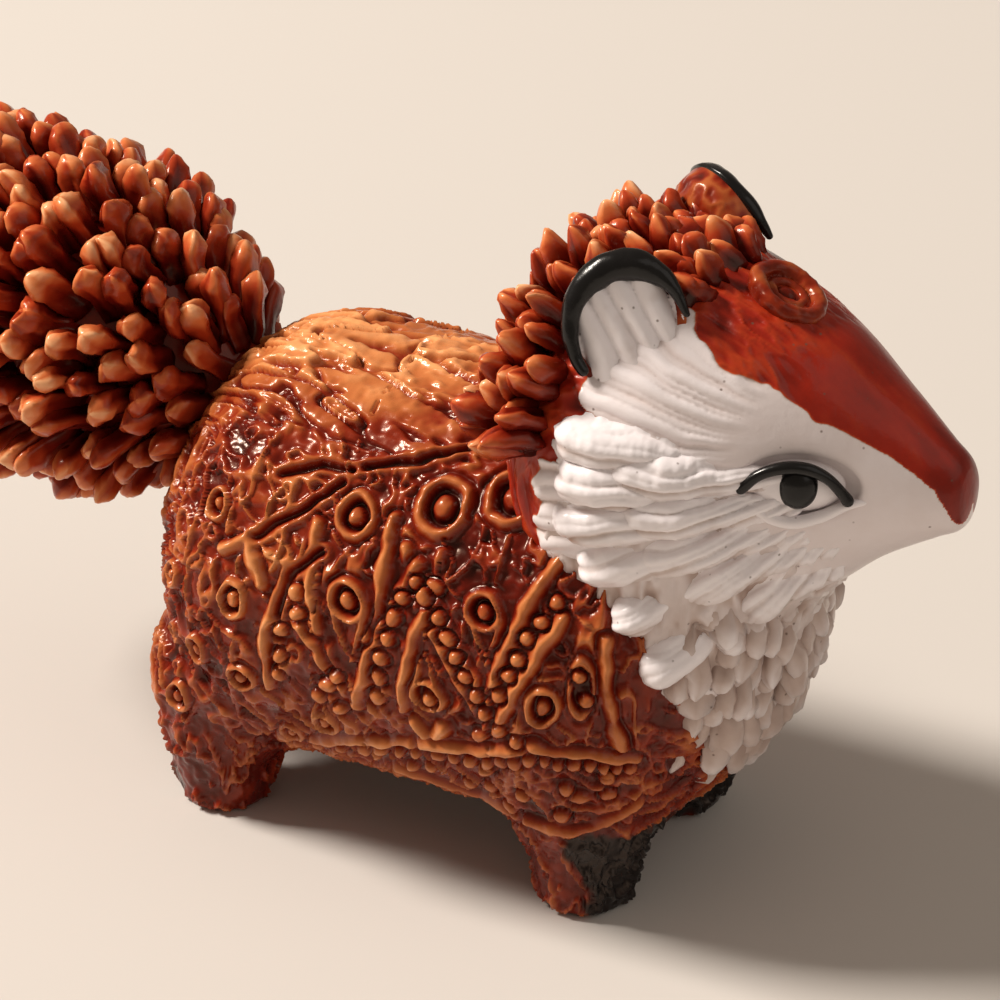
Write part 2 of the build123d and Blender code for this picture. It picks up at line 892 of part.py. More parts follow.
right_eye = make_eye()
right_pupil = make_pupil()
eyes = [right_eye, mirrored(right_eye)]
pupils = [right_pupil, mirrored(right_pupil)]
full_head = largest(make_head().cut(body))
head = largest(full_head.cut(*eyes, *pupils))
pieces["head"] = head

bib = seated(make_bib(), [body, full_head])
pieces["chest_bib"] = bib

boss_ring = seated(make_boss_ring(), [full_head])
boss_bead = seated(make_boss_bead(), [full_head, boss_ring])
pieces["forehead_ring"] = boss_ring
pieces["forehead_bead"] = boss_bead

right_side = {}
right_side["pupil"] = right_pupil
right_side["eye"] = largest(right_eye.cut(right_pupil))
right_side["upper_lid"] = seated(make_lid(True), [full_head, right_eye, right_pupil])
right_side["lower_lid"] = seated(make_lid(False), [full_head, right_eye, right_pupil])
right_side["ear"] = seated(make_ear_shell(), [full_head])
right_side["ear_lining"] = seated(make_ear_lining(), [full_head])
right_side["ear_rim"] = seated(make_ear_rim(), [full_head])

bib_rows = []
for row in range(len(bib_row_spread)):
    bib_rows.append(seated(make_bib_row(row), [body, full_head, bib]))

lids = [right_eye, right_side["upper_lid"], right_side["lower_lid"]]
inner_carriers = [body, full_head, bib] + lids + bib_rows
inner_locks = seated(make_lock_row(inner_lock_shares), inner_carriers)
outer_locks = seated(make_lock_row(outer_lock_shares), [body, full_head, bib, inner_locks] + bib_rows)
right_side["cheek_locks_inner"] = inner_locks
right_side["cheek_locks_outer"] = outer_locks

ears = [right_side["ear"], right_side["ear_rim"]]
ears += [mirrored(ear) for ear in ears]
locks = [inner_locks, outer_locks, mirrored(inner_locks), mirrored(outer_locks)]
for row in range(len(mane_row_shares)):
    mane_row = seated(make_mane_row(row), [body, full_head, boss_ring] + ears + locks)
    pieces[f"mane_row_{row + 1}"] = mane_row

for name, piece in right_side.items():
    pieces[f"right_{name}"] = piece
    pieces[f"left_{name}"] = mirrored(piece)
for number, row in enumerate(bib_rows, 1):
    pieces[f"bib_row_{number}"] = row

full_core = seated(make_tail_core(), [body])
pieces["tail_core"] = largest(full_core.cut(tail_wire))
tail_tip = make_tail_tip()
pieces["tail_tip"] = tail_tip
for row in range(tail_row_count):
    tail_row = seated(make_tail_row(row), [body, full_core, tail_tip])
    pieces[f"tail_row_{row + 1:02d}"] = tail_row

# Move the figure so that its box stands centred on the origin, then write it
boxes = [piece.bounding_box() for piece in pieces.values()]
middle_x = (min(box.min.X for box in boxes) + max(box.max.X for box in boxes)) / 2
middle_y = (min(box.min.Y for box in boxes) + max(box.max.Y for box in boxes)) / 2
lowest = min(box.min.Z for box in boxes)
for name, piece in pieces.items():
    export_step(Pos(-middle_x, -middle_y, -lowest) * piece, f"parts/{name}.step")
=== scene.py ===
from math import atan, atan2, cos, pi, radians, sin, sqrt

import bpy
import numpy as np
import openvdb
from mathutils import Matrix, Vector


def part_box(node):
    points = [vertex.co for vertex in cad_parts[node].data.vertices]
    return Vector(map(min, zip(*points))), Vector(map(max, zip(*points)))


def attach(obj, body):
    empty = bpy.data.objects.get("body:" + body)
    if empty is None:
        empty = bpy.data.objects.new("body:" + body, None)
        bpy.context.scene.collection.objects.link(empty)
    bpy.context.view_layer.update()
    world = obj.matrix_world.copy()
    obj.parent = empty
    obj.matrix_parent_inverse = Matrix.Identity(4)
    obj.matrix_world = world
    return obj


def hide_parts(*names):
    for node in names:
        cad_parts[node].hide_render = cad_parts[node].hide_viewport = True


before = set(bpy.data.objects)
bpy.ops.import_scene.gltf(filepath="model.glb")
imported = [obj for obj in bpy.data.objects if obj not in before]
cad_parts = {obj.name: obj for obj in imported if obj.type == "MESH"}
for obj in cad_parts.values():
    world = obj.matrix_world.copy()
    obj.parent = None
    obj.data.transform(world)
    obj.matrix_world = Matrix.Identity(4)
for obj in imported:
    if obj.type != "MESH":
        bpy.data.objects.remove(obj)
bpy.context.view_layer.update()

# The figure is shaped in millimetres, with y = 0 midway between the front feet.
# It looks along -Y and its right side is -X.
millimetre = 0.001
chest_y = -7.5
shift_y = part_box("body")[0][1] / millimetre - chest_y

# Sizes of the body and legs
barrel_radius = 11.4
barrel_axis_height = 14.0
rump_y = 24.1
chest_rounding = 9.0
rump_rounding = 8.0
skin_inset = 0.25
leg_half_spread = 5.2
front_leg_y = 0.0
rear_leg_y = 20.8
leg_blend = 2.5
relief_height = 0.28
relief_limit = 1.3

# Sizes of the head
head_length = 25.7
head_width = 18.0
head_height = 20.0
head_nose_y = -18.2
head_base_height = 15.0
head_rear_y = 4.4
head_relief_height = 0.17

# Sizes of the tail
tail_root = np.array([0.0, 23.0, 20.4])
tail_rise = radians(13.5)
tail_core_length = 25.0
tail_core_radius = 6.7
tail_row_count = 11

# Grid steps of the skins, and the step over which a slope is read
skin_pitch = 0.12
fine_pitch = 0.1
small_pitch = 0.09
pupil_pitch = 0.08
slope_step = 0.1


# Small tools for shapes

def placed(points):
    """Points of the figure, in millimetres, as points of the row frame in metres."""
    return (np.asarray(points, float) + np.array([0.0, shift_y, 0.0])) * millimetre


def smooth_step(value, low, high):
    share = np.clip((value - low) / (high - low), 0, 1)
    return share * share * (3 - 2 * share)


def smooth_union(first, second, blend):
    overlap = np.maximum(blend - np.abs(first - second), 0) / blend
    return np.minimum(first, second) - overlap * overlap * blend / 4


def smooth_cut(first, second, blend):
    """The first shape with the second taken out of it."""
    return -smooth_union(-first, second, blend)


def flowing_out(carrier, lump, blend, depth):
    """A lump that flows out of what carries it, and reaches a little way into it."""
    skin = smooth_union(carrier + 0.03, lump, blend)
    return np.maximum(np.maximum(skin, -carrier - depth), lump - blend)


def unit(vector):
    return vector / np.linalg.norm(vector)


def leaning(along, outward, angle):
    """The direction that turns from one toward another by an angle."""
    return along * cos(angle) + outward * sin(angle)


def egg(places, halves, scale):
    """Field of an egg-shaped lump, zero on its surface."""
    return (np.sqrt(sum((place / half) ** 2 for place, half in zip(places, halves))) - 1) * scale


def dome(distance, radius):
    """Height of a round bead, from 1 at its middle to 0 at its edge."""
    return np.sqrt(np.maximum(1 - (distance / radius) ** 2, 0))


def ridge_at(distance, place, width):
    return np.exp(-((distance - place) / width) ** 2)


def smooth_table(table, column):
    """A smooth reading of one column of a table of rows sorted by their first value."""
    keys, values = np.array(table, float).T[[0, column]]
    secants = np.diff(values) / np.diff(keys)
    same_way = secants[1:] * secants[:-1] > 0
    total = np.where(same_way, secants[1:] + secants[:-1], 1)
    inner = np.where(same_way, 2 * secants[1:] * secants[:-1] / total, 0)
    slopes = np.concatenate([secants[:1], inner, secants[-1:]])

    def read(key):
        key = np.clip(key, keys[0], keys[-1])
        place = np.clip(np.searchsorted(keys, key, side="right") - 1, 0, len(keys) - 2)
        width = keys[place + 1] - keys[place]
        t = (key - keys[place]) / width
        start = (2 * t ** 3 - 3 * t ** 2 + 1) * values[place]
        start = start + (t ** 3 - 2 * t ** 2 + t) * width * slopes[place]
        end = (3 * t ** 2 - 2 * t ** 3) * values[place + 1]
        return start + (end + (t ** 3 - t ** 2) * width * slopes[place + 1])

    return read


def noise(points, spacing, seed):
    """Smooth noise from -1 to 1 on a lattice with one spacing, or one for each direction."""
    size = 24
    values = np.random.default_rng(seed).uniform(-1, 1, (size, size, size))
    scaled = points / np.asarray(spacing, float)
    cell = np.floor(scaled).astype(int)
    part = scaled - cell
    part = part * part * (3 - 2 * part)
    total = np.zeros(len(points))
    for corner in np.ndindex(2, 2, 2):
        weight = np.ones(len(points))
        for axis in range(3):
            weight = weight * (part[:, axis] if corner[axis] else 1 - part[:, axis])
        index = (cell + np.array(corner)) % size
        total += weight * values[index[:, 0], index[:, 1], index[:, 2]]
    return total


def rough_noise(points, spacing, seed):
    """Noise in three sizes, each half as strong as the one before."""
    total = noise(points, spacing, seed)
    total += noise(points, spacing / 2.1, seed + 1) / 2
    total += noise(points, spacing / 4.3, seed + 2) / 4
    return total / 1.75


def string_noise(points, spacing, seed):
    """Noise in two sizes, whose zero lines run like strings."""
    spacing = np.asarray(spacing, float)
    return noise(points, spacing, seed) + 0.35 * noise(points, spacing / 2.3, seed + 1)


def three_noises(points, spacing, first_seed):
    """Moves in the three directions."""
    return np.stack([noise(points, spacing, first_seed + axis) for axis in range(3)], 1)


def gradient_of(field, points, step=slope_step):
    """Outward direction of a field at some points."""
    slopes = []
    for axis in range(3):
        move = np.zeros(3)
        move[axis] = step
        ahead = points + move
        behind = points - move
        slopes.append(field(*ahead.T) - field(*behind.T))
    slope = np.stack(slopes, 1)
    return slope / np.maximum(np.linalg.norm(slope, axis=1, keepdims=True), 1e-9)


def skin_of(field, low, high, pitch):
    """Points and four-cornered faces of the surface where a field is zero, inside a box."""
    low = np.asarray(low, float)
    axes = [np.arange(a, b + pitch, pitch, dtype=np.float32) for a, b in zip(low, high)]
    x, y, z = np.meshgrid(*axes, indexing="ij")
    values = field(x, y, z).astype(np.float32)
    grid = openvdb.FloatGrid(background=1.0)
    grid.copyFromArray(values)
    points, quads = grid.convertToQuads(isovalue=0.0)
    points = points.astype(float) * pitch + low
    corners = points[quads]
    facing = np.cross(corners[:, 2] - corners[:, 0], corners[:, 3] - corners[:, 1])
    outward = gradient_of(field, corners.mean(1), pitch)
    if (facing * outward).sum() < 0:
        quads = quads[:, ::-1]
    return points, quads.tolist()


def pushed(points, field, heights):
    """Points moved out of a field's surface, each by its own height."""
    return points + gradient_of(field, points) * heights[:, None]


def band_faces(ring_count, sides):
    """Four-cornered faces between rings of points that follow each other."""
    faces = []
    for start in range(0, (ring_count - 1) * sides, sides):
        for number in range(sides):
            beside = (number + 1) % sides
            faces.append([start + number, start + beside, start + sides + beside, start + sides + number])
    return faces


def make_piece(name, points, faces, slot, material, **facts):
    """A visible piece of the figure that stands for the node of the same name."""
    mesh = bpy.data.meshes.new(f"{name}_skin")
    mesh.from_pydata(placed(points).tolist(), [], faces)
    mesh.polygons.foreach_set("use_smooth", [True] * len(mesh.polygons))
    for key, values in facts.items():
        attribute = mesh.attributes.new(key, "FLOAT", "POINT")
        attribute.data.foreach_set("value", np.full(len(points), values, np.float32))
    mesh.materials.append(material)
    piece = bpy.data.objects.new(f"{name}_skin", mesh)
    bpy.context.collection.objects.link(piece)
    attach(piece, "root")
    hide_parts(name)


def make_pair(name, points, faces, slot, material, **facts):
    """A piece on the fox's right side and the same on its left."""
    make_piece(f"right_{name}", points, faces, slot, material, **facts)
    flipped = points * np.array([-1.0, 1.0, 1.0])
    turned = [face[::-1] for face in faces]
    make_piece(f"left_{name}", flipped, turned, slot, material, **facts)


# Materials

def paint(name, stops, roughness, coat, grain, gleam, speckle=0.0, dark_attribute=False):
    """Paint whose colour follows the carved height kept in the mesh, under a gloss varnish."""
    material = bpy.data.materials.new(name)
    material.use_nodes = True
    nodes = material.node_tree.nodes
    nodes.clear()

    def add(kind, sockets, **settings):
        """A node with its settings, and its sockets set to a value or linked to an output."""
        node = nodes.new(f"ShaderNode{kind}")
        for key, value in settings.items():
            setattr(node, key, value)
        for key, value in sockets.items():
            if isinstance(value, bpy.types.NodeSocket):
                material.node_tree.links.new(value, node.inputs[key])
            else:
                node.inputs[key].default_value = value
        return node

    def laid_over(under, over, share):
        mix = add("Mix", {"Factor": share, "A": under, "B": (*over, 1)}, data_type="RGBA")
        return mix.outputs["Result"]

    where = add("TexCoord", {}).outputs["Object"]
    tone = add("Attribute", {}, attribute_name="tone").outputs["Fac"]
    mottle = add("TexNoise", {"Scale": 900, "Detail": 6, "Vector": where}).outputs["Fac"]
    offset = add("Math", {0: tone, 1: grain / 2}, operation="SUBTRACT").outputs[0]
    spread = add("Math", {0: mottle, 1: grain, 2: offset}, operation="MULTIPLY_ADD").outputs[0]
    ramp = add("ValToRGB", {"Fac": spread})
    for element, (position, colour) in zip(ramp.color_ramp.elements, (stops[0], stops[-1])):
        element.position = position
        element.color = (*colour, 1)
    for position, colour in stops[1:-1]:
        ramp.color_ramp.elements.new(position).color = (*colour, 1)
    shown = ramp.outputs["Color"]
    if dark_attribute:
        dark = add("Attribute", {}, attribute_name="dark").outputs["Fac"]
        shown = laid_over(shown, (0.012, 0.01, 0.01), dark)
    if speckle:
        pores = add("TexVoronoi", {"Scale": 950, "Vector": where}).outputs["Distance"]
        sizes = {"From Min": 0.03, "From Max": 0.09, "To Min": speckle, "To Max": 0, "Value": pores}
        shown = laid_over(shown, (0.12, 0.07, 0.05), add("MapRange", sizes).outputs["Result"])
    wear = add("MapRange", {"To Min": roughness * 0.7, "To Max": roughness * 1.3, "Value": mottle})
    ripple = add("TexNoise", {"Scale": 2600, "Detail": 3, "Vector": where}).outputs["Fac"]
    bump = add("Bump", {"Strength": 0.2, "Distance": 0.00008, "Height": ripple}).outputs["Normal"]
    shader = add("BsdfPrincipled", {
        "Base Color": shown, "Roughness": wear.outputs["Result"], "Specular IOR Level": 0.25,
        "Specular Tint": (*gleam, 1), "Coat Weight": coat, "Coat Roughness": 0.12,
        "Normal": bump, "Coat Normal": bump,
    })
    add("OutputMaterial", {"Surface": shader.outputs["BSDF"]})
    return material


warm_gleam = (1.0, 0.62, 0.42)
white_gleam = (1.0, 0.97, 0.94)
face_gleam = (1.0, 0.8, 0.7)

body_paint = paint(
    "carved_body_paint",
    [
        (0.08, (0.035, 0.002, 0.001)),
        (0.28, (0.12, 0.006, 0.002)),
        (0.45, (0.24, 0.022, 0.006)),
        (0.6, (0.38, 0.085, 0.022)),
        (0.78, (0.54, 0.17, 0.05)),
        (0.98, (0.8, 0.34, 0.13)),
    ],
    roughness=0.28, coat=0.22, grain=0.24, gleam=warm_gleam, dark_attribute=True,
)
tuft_paint = paint(
    "tuft_paint",
    [
        (0.06, (0.03, 0.001, 0.001)),
        (0.3, (0.16, 0.008, 0.003)),
        (0.52, (0.4, 0.045, 0.012)),
        (0.75, (0.66, 0.18, 0.055)),
        (1.0, (0.86, 0.42, 0.2)),
    ],
    roughness=0.3, coat=0.25, grain=0.3, gleam=warm_gleam,
)
# Painted reflected light: the lower stops of the white part are a warm brown, for the warm light that shaded
# white picks up from its surroundings.
face_paint = paint(
    "face_paint",
    [
        (0.0, (0.1, 0.004, 0.002)),
        (0.2, (0.31, 0.014, 0.004)),
        (0.38, (0.48, 0.055, 0.013)),
        (0.44, (0.5, 0.1, 0.035)),
        (0.5, (0.42, 0.26, 0.2)),
        (0.64, (0.68, 0.57, 0.54)),
        (0.85, (0.85, 0.79, 0.8)),
    ],
    roughness=0.36, coat=0.22, grain=0.08, gleam=face_gleam, speckle=0.8,
)
# Painted reflected light: the lower stops are a warm brown, for the warm light that shaded and grooved white
# picks up from its surroundings.
white_paint = paint(
    "white_paint",
    [(0.12, (0.2, 0.11, 0.08)), (0.36, (0.52, 0.4, 0.35)), (0.62, (0.88, 0.82, 0.83))],
    roughness=0.36, coat=0.35, grain=0.12, gleam=white_gleam, speckle=0.8,
)
black_paint = paint(
    "black_paint",
    [(0.2, (0.003, 0.003, 0.003)), (0.8, (0.008, 0.007, 0.007))],
    roughness=0.25, coat=0.15, grain=0.4, gleam=white_gleam,
)


# Body: the barrel, and the legs that flow into it

def barrel_field(x, y, z):
    reach = np.hypot(x, z - barrel_axis_height)
    front = y < (chest_y + rump_y) / 2
    rounding = np.where(front, chest_rounding, rump_rounding)
    past_end = np.where(front, chest_y + chest_rounding - y, y - rump_y + rump_rounding)
    past_side = reach - barrel_radius + skin_inset + rounding
    outside = np.hypot(np.maximum(past_side, 0), np.maximum(past_end, 0))
    return outside + np.minimum(np.maximum(past_side, past_end), 0) - rounding


# Each height of a leg, with the leg's radius there
leg_outline = [
    (0, 1.95), (0.12, 2.2), (0.4, 2.4), (2, 2.75), (4.5, 3.2), (7.6, 3.5), (9, 3.2), (10.5, 1.9),
    (11.2, 0.1),
]
sole_height = 0.02


def leg_field(x, y, z, leg_y):
    heights, radii = zip(*leg_outline)
    side = np.hypot(np.abs(x) - leg_half_spread, y - leg_y) - np.interp(z, heights, radii)
    return np.maximum(np.maximum(side, sole_height - z), z - heights[-1])


def flank_place(points):
    """Distances along the body and around its flank from the height of its axis."""
    x, y, z = points.T
    past_radius = np.hypot(x, z - barrel_axis_height) - barrel_radius
    rear = rump_y - rump_rounding
    front = chest_y + chest_rounding
    around_rump = rump_rounding * np.arctan2(y - rear, np.maximum(past_radius + rump_rounding, 0.001))
    around_chest = chest_rounding * np.arctan2(front - y, np.maximum(past_radius + chest_rounding, 0.001))
    along = np.where(y > rear, rear + around_rump, np.where(y < front, front - around_chest, y))
    around = barrel_radius * np.arctan2(z - barrel_axis_height, np.abs(x))
    return along, around


# Carving on the flank: places along the body and around it, then half sizes, in millimetres
rings = [
    (10.9, 7.5, 1.0, 1.15), (6.6, 9.1, 1.4, 1.55), (3.2, 10.5, 1.4, 1.45),
    (16.8, 1.6, 0.7, 1.1), (19.4, -2.7, 0.6, 0.95), (16.5, -3.1, 0.75, 0.8),
    (20.9, -7.3, 0.6, 0.85), (-0.6, 0.2, 0.85, 1.2), (21.6, 1.2, 0.6, 0.9), (14.6, -7.2, 0.7, 0.8),
    (18.6, 6.2, 0.7, 0.9), (22.0, -3.4, 0.5, 0.8),
]
long_oval = (-2.5, 1.5, 0.75, 1.9)

# Each teardrop: place and half size of its round end, then the place of its tip
teardrops = [
    (10.4, 3.2, 1.05, 10.0, 0.3), (3.0, 4.5, 1.0, 2.4, 2.2), (5.7, -0.8, 0.85, 5.9, 1.6),
    (12.0, -5.0, 0.7, 12.2, -3.2),
]
ridge_lines = [
    ((7.9, 6.6), (5.2, 3.6), (2.3, 0.0)),
    ((6.5, 3.9), (4.6, 1.6), (2.9, -1.0)),
    ((-0.2, 8.4), (1.0, 4.6), (2.3, 0.0)),
    ((-1.1, 5.2), (0.3, 2.2), (1.7, -1.0)),
    ((13.4, 1.9), (11.9, 0.1), (9.9, -2.9)),
    ((7.0, 6.0), (8.6, 2.2), (9.9, -2.9)),
    ((5.9, 4.2), (6.9, 1.0), (7.4, -2.2)),
    ((13.9, 3.0), (14.9, 0.4), (15.0, -3.2)),
    ((8.9, 7.9), (8.7, 4.0), (9.4, 1.5)),
    ((12.8, 6.6), (12.6, 3.2), (11.9, 1.2)),
    ((4.9, -2.6), (5.7, -3.9), (6.8, -2.8)),
    ((17.8, 4.2), (16.3, 4.9), (15.2, 2.9)),
    ((-3.4, 4.6), (-3.9, 1.0), (-4.6, -3.6)),
]
groove_lines = [
    ((11.9, 9.7), (8.7, 11.2), (6.0, 12.7)),
    ((6.0, 12.7), (2.2, 13.4), (-0.5, 13.6)),
    ((15.5, 8.5), (13.6, 9.6), (11.9, 9.7)),
    ((16.0, 5.2), (13.4, 7.4), (12.2, 9.0)),
    ((12.3, 5.2), (13.6, 3.9), (14.2, 1.4)),
]
beaded_hem_lines = [
    ((15.8, -8.6), (10.4, -5.9), (6.4, -4.4)),
    ((6.4, -4.4), (2.8, -3.6), (0.0, -2.4)),
    ((0.0, -2.4), (-2.8, -2.8), (-5.0, -3.8)),
]
plain_hem_lines = [
    ((8.8, -8.2), (4.6, -9.4), (1.4, -8.6)),
    ((1.4, -8.6), (-1.6, -8.4), (-4.4, -8.0)),
]
beads = [
    (5.4, 3.6), (4.75, 2.75), (4.15, 1.85), (3.6, 0.95), (3.0, 0.0), (2.6, -0.9),
    (-0.65, 5.9), (-0.05, 4.8), (0.5, 3.75), (0.9, 2.6), (1.25, 1.5), (1.75, 0.4), (5.9, 5.1), (6.3, 4.4),
    (6.9, 5.0), (7.5, 4.05), (7.85, 3.0), (8.05, 1.9), (8.3, 0.6), (8.5, -0.6), (8.7, -1.8),
    (13.0, 1.8), (13.9, 0.6), (14.1, -0.8), (10.8, -1.2), (12.1, -3.0), (10.9, -3.4), (11.4, -2.0),
    (13.2, 3.0), (14.2, -2.2), (6.4, -6.5), (4.6, -7.4), (1.3, -6.4), (3.0, -5.2), (8.2, -5.9), (-1.2, -5.4),
    (-3.2, -6.3), (-0.6, -7.3), (2.4, -8.0), (9.8, -7.0), (7.6, -7.3), (-3.4, -4.9), (3.2, -6.8),
    (1.9, -1.8), (2.9, -2.4), (1.0, -2.3), (5.7, -1.0), (-2.4, 2.2), (-2.8, 0.8),
]
bead_radius = 0.42
hem_bead_radius = 0.38
hem_bead_drop = 0.95
hem_bead_shares = np.linspace(0.08, 0.92, 7)


def line_distance(along, around, corners):
    """Distance from a bent line through three corners."""
    best = np.full(len(along), 99.0)
    for (s0, h0), (s1, h1) in zip(corners, corners[1:]):
        run_s = s1 - s0
        run_h = h1 - h0
        share = ((along - s0) * run_s + (around - h0) * run_h) / (run_s ** 2 + run_h ** 2)
        share = np.clip(share, 0, 1)
        best = np.minimum(best, np.hypot(along - s0 - share * run_s, around - h0 - share * run_h))
    return best


def ring_relief(distance):
    """Ring, moat and bead by the distance from the middle as a share of the ring's size."""
    relief = ridge_at(distance, 0.92, 0.19) * 1.15
    relief -= ridge_at(distance, 0.58, 0.13) * 1.6
    relief += dome(distance, 0.44) * 0.8
    relief -= ridge_at(distance, 1.28, 0.12) * 0.7
    return relief


def wobbled(values, points, seed):
    """Places shifted a little, as a hand shifts a line."""
    return values + 0.15 * noise(points, 1.1, seed) + 0.06 * noise(points, 0.5, seed + 2)


def string_ground(points, along, around):
    """Stringy relief between the motifs: crossed on the flank and belly, feathered on the back."""
    def strings_on(first, second, spacing, seed):
        return string_noise(np.stack([first, second, along * 0], 1), (*spacing, 1), seed)

    strokes = strings_on(along, around * 0.45 + along * 0.25, (1.15, 1.15), 11)
    hatch = strings_on(along * 0.5 + around * 0.5, around - along * 0.9, (1.3, 1.2), 21)
    feather = strings_on(along * 0.3 + around * 0.2, around * 1.2 - along * 0.35, (0.95, 0.95), 31)
    top = smooth_step(around, 9.5, 12.5)
    low = smooth_step(-around, 1.0, 5.0)
    planes = noise(points, 1.3, 12)
    strings = np.maximum(ridge_at(strokes, 0.05, 0.15), 0.9 * ridge_at(hatch, -0.15, 0.13))
    cross_strings = np.maximum(ridge_at(hatch, 0, 0.17), 0.85 * ridge_at(strokes, -0.2, 0.14))
    crossed = 1.3 * (strings * (1 - low) + cross_strings * low) + 0.55 * planes - 0.6
    feathered = 0.3 + 0.5 * planes - 1.3 * ridge_at(feather, 0, 0.16) + 0.7 * ridge_at(feather, 0.36, 0.14)
    return crossed * (1 - top) + feathered * top, planes


def flank_relief(points):
    """Carved height on the body, below 0 in the cuts and above 0 on the ridges."""
    along, around = flank_place(points)
    along_w = wobbled(along, points, 5)
    around_w = wobbled(around, points, 6)
    swell = 1 + 0.3 * noise(points, 0.9, 9)
    relief, planes = string_ground(points, along, around)

    def lay(shape, distance, full_until, gone_from):
        """Put a motif in place of what it covers."""
        nonlocal relief
        hold = 1 - smooth_step(distance, full_until, gone_from)
        relief = relief * (1 - hold) + shape * hold

    def ring_distance(s, h, half_s, half_h):
        return np.hypot((along_w - s) / half_s, (around_w - h) / half_h)

    hem_lines = beaded_hem_lines + plain_hem_lines
    for lines, width, height, moat, moat_width in (
        (ridge_lines, 0.26, 1.2, 0.56, 0.17), (hem_lines, 0.28, 1.1, 0.57, 0.18),
    ):
        for corners in lines:
            distance = line_distance(along_w, around_w, corners) / swell
            shape = ridge_at(distance, 0, width) * height * swell - ridge_at(distance, moat, moat_width)
            lay(shape, distance, 0.4, 0.75)
    for corners in groove_lines:
        distance = line_distance(along_w, around_w, corners)
        lay(ridge_at(distance, 0.45, 0.25) * 0.6 - ridge_at(distance, 0, 0.2) * 1.5, distance, 0.3, 0.7)
    for ring in rings:
        distance = ring_distance(*ring)
        lay(ring_relief(distance), distance, 1.25, 1.45)
    distance = ring_distance(*long_oval)
    shape = ridge_at(distance, 0.86, 0.14) - 1.1 * (1 - smooth_step(distance, 0.6, 0.75))
    shape -= ridge_at(distance, 1.14, 0.1) * 0.7
    lay(shape, distance, 1.25, 1.45)
    for s, h, half, tip_s, tip_h in teardrops:
        lean = np.clip((around_w - h) / (tip_h - h), 0, 1)
        middle_s = s + (tip_s - s) * lean
        across = np.abs(along_w - middle_s) / (half * (1 - lean ** 1.4) + 0.02)
        beyond = np.maximum((h - around_w) * np.sign(h - tip_h) * -1, 0) / half
        distance = np.where(lean > 0, across, np.hypot((along_w - s) / half, beyond))
        distance = np.minimum(distance, 3)
        from_end = ring_distance(s, h, half, half)
        outline = ridge_at(distance, 0.9, 0.22) - ridge_at(distance, 1.35, 0.2) * 0.8
        outline -= 0.4 * (distance < 0.6)
        lay(np.where(from_end < 1, ring_relief(from_end), outline), distance, 1.3, 1.6)
    for s, h in beads:
        distance = np.hypot(along_w - s, around_w - h)
        shape = dome(distance, bead_radius) * 1.1 - ridge_at(distance, 0.52, 0.12) * 1.1
        lay(shape, distance, 0.5, 0.66)
    for corners in beaded_hem_lines:
        for s, h in zip(*[np.interp(hem_bead_shares, [0, 0.5, 1], values) for values in zip(*corners)]):
            distance = np.hypot(along_w - s, around_w - h + hem_bead_drop)
            lay(dome(distance, hem_bead_radius) - ridge_at(distance, 0.47, 0.11), distance, 0.46, 0.6)
    leg_part = smooth_step(-points[:, 2], -6.2, -4.2)
    scratches = rough_noise(points * np.array([1.0, 1.0, 0.4]), 0.8, 41)
    relief = relief * (1 - leg_part) + (1.2 * ridge_at(scratches, 0, 0.09) - 0.35 + 0.4 * planes) * leg_part
    relief += 0.26 * noise(points, 0.5, 51) + 0.16 * noise(points, 0.3, 52)
    return np.clip(relief, -relief_limit, relief_limit), along, around


# Lighter and darker spots: place, half sizes and change of tone
tone_spots = [
    (17.0, 4.0, 3.5, 7.0, 0.1), (14.0, 16.6, 6.4, 2.5, 0.4), (13.0, 3.0, 3.0, 4.0, 0.07),
    (5.0, 9.0, 3.6, 3.2, -0.1), (3.0, 5.0, 2.2, 2.4, -0.06), (20.0, -4.0, 3.0, 4.0, -0.08),
    (-2.0, -6.0, 4.0, 4.0, -0.06), (8.0, -3.5, 7.0, 3.0, 0.09), (18.5, 9.0, 2.0, 3.0, -0.16),
    (2.0, 14.0, 4.0, 3.5, -0.08),
]


def flank_tone(points, relief, along, around):
    """Paint tone by the carved height and by the part of the body."""
    tone = 0.44 + 0.28 * relief
    for s, h, half_s, half_h, change in tone_spots:
        tone += change * np.exp(-((along - s) / half_s) ** 2 - ((around - h) / half_h) ** 2)
    tone += 0.07 * rough_noise(points, 3.0, 61)
    leg_part = smooth_step(-points[:, 2], -5.5, -3.5)
    return tone * (1 - leg_part) + (0.38 + 0.24 * relief) * leg_part


# Black of the feet: where it begins and ends along the body, and how high it reaches
front_black_y = -0.9
front_black_end = -4.5
front_black_top = 5.2
rear_black_y = 22.6
rear_black_top = 3.0


def foot_dark(points):
    """Black paint on the front of the front feet and at the back of the rear feet."""
    x, y, z = points.T
    edge = 0.8 * noise(points, 0.9, 71)
    front = smooth_step(front_black_y - y + edge, -0.25, 0.25)
    front *= smooth_step(front_black_top - z + edge, -0.3, 0.3) * (y > front_black_end)
    rear = smooth_step(y - rear_black_y + edge, -0.25, 0.25)
    rear *= smooth_step(rear_black_top - z + edge, -0.3, 0.3)
    return np.clip(front + 0.7 * rear, 0, 1)


def make_carved(name, field, low, high, slot):
    """The skin of a field, carved, with its soles left flat on the floor."""
    points, quads = skin_of(field, low, high, skin_pitch)
    relief, along, around = flank_relief(points)
    grounded = smooth_step(points[:, 2], 0.0, 0.5)[:, None]
    moved = points + gradient_of(field, points) * (relief * relief_height)[:, None] * grounded
    moved[:, 2] = np.maximum(moved[:, 2], 0.0)
    tone = flank_tone(points, relief, along, around)
    make_piece(name, moved, quads, slot, body_paint, tone=tone, dark=foot_dark(points))


make_carved("body", barrel_field, (-12, -8, 2), (12, 24.6, 26), "body_paint")

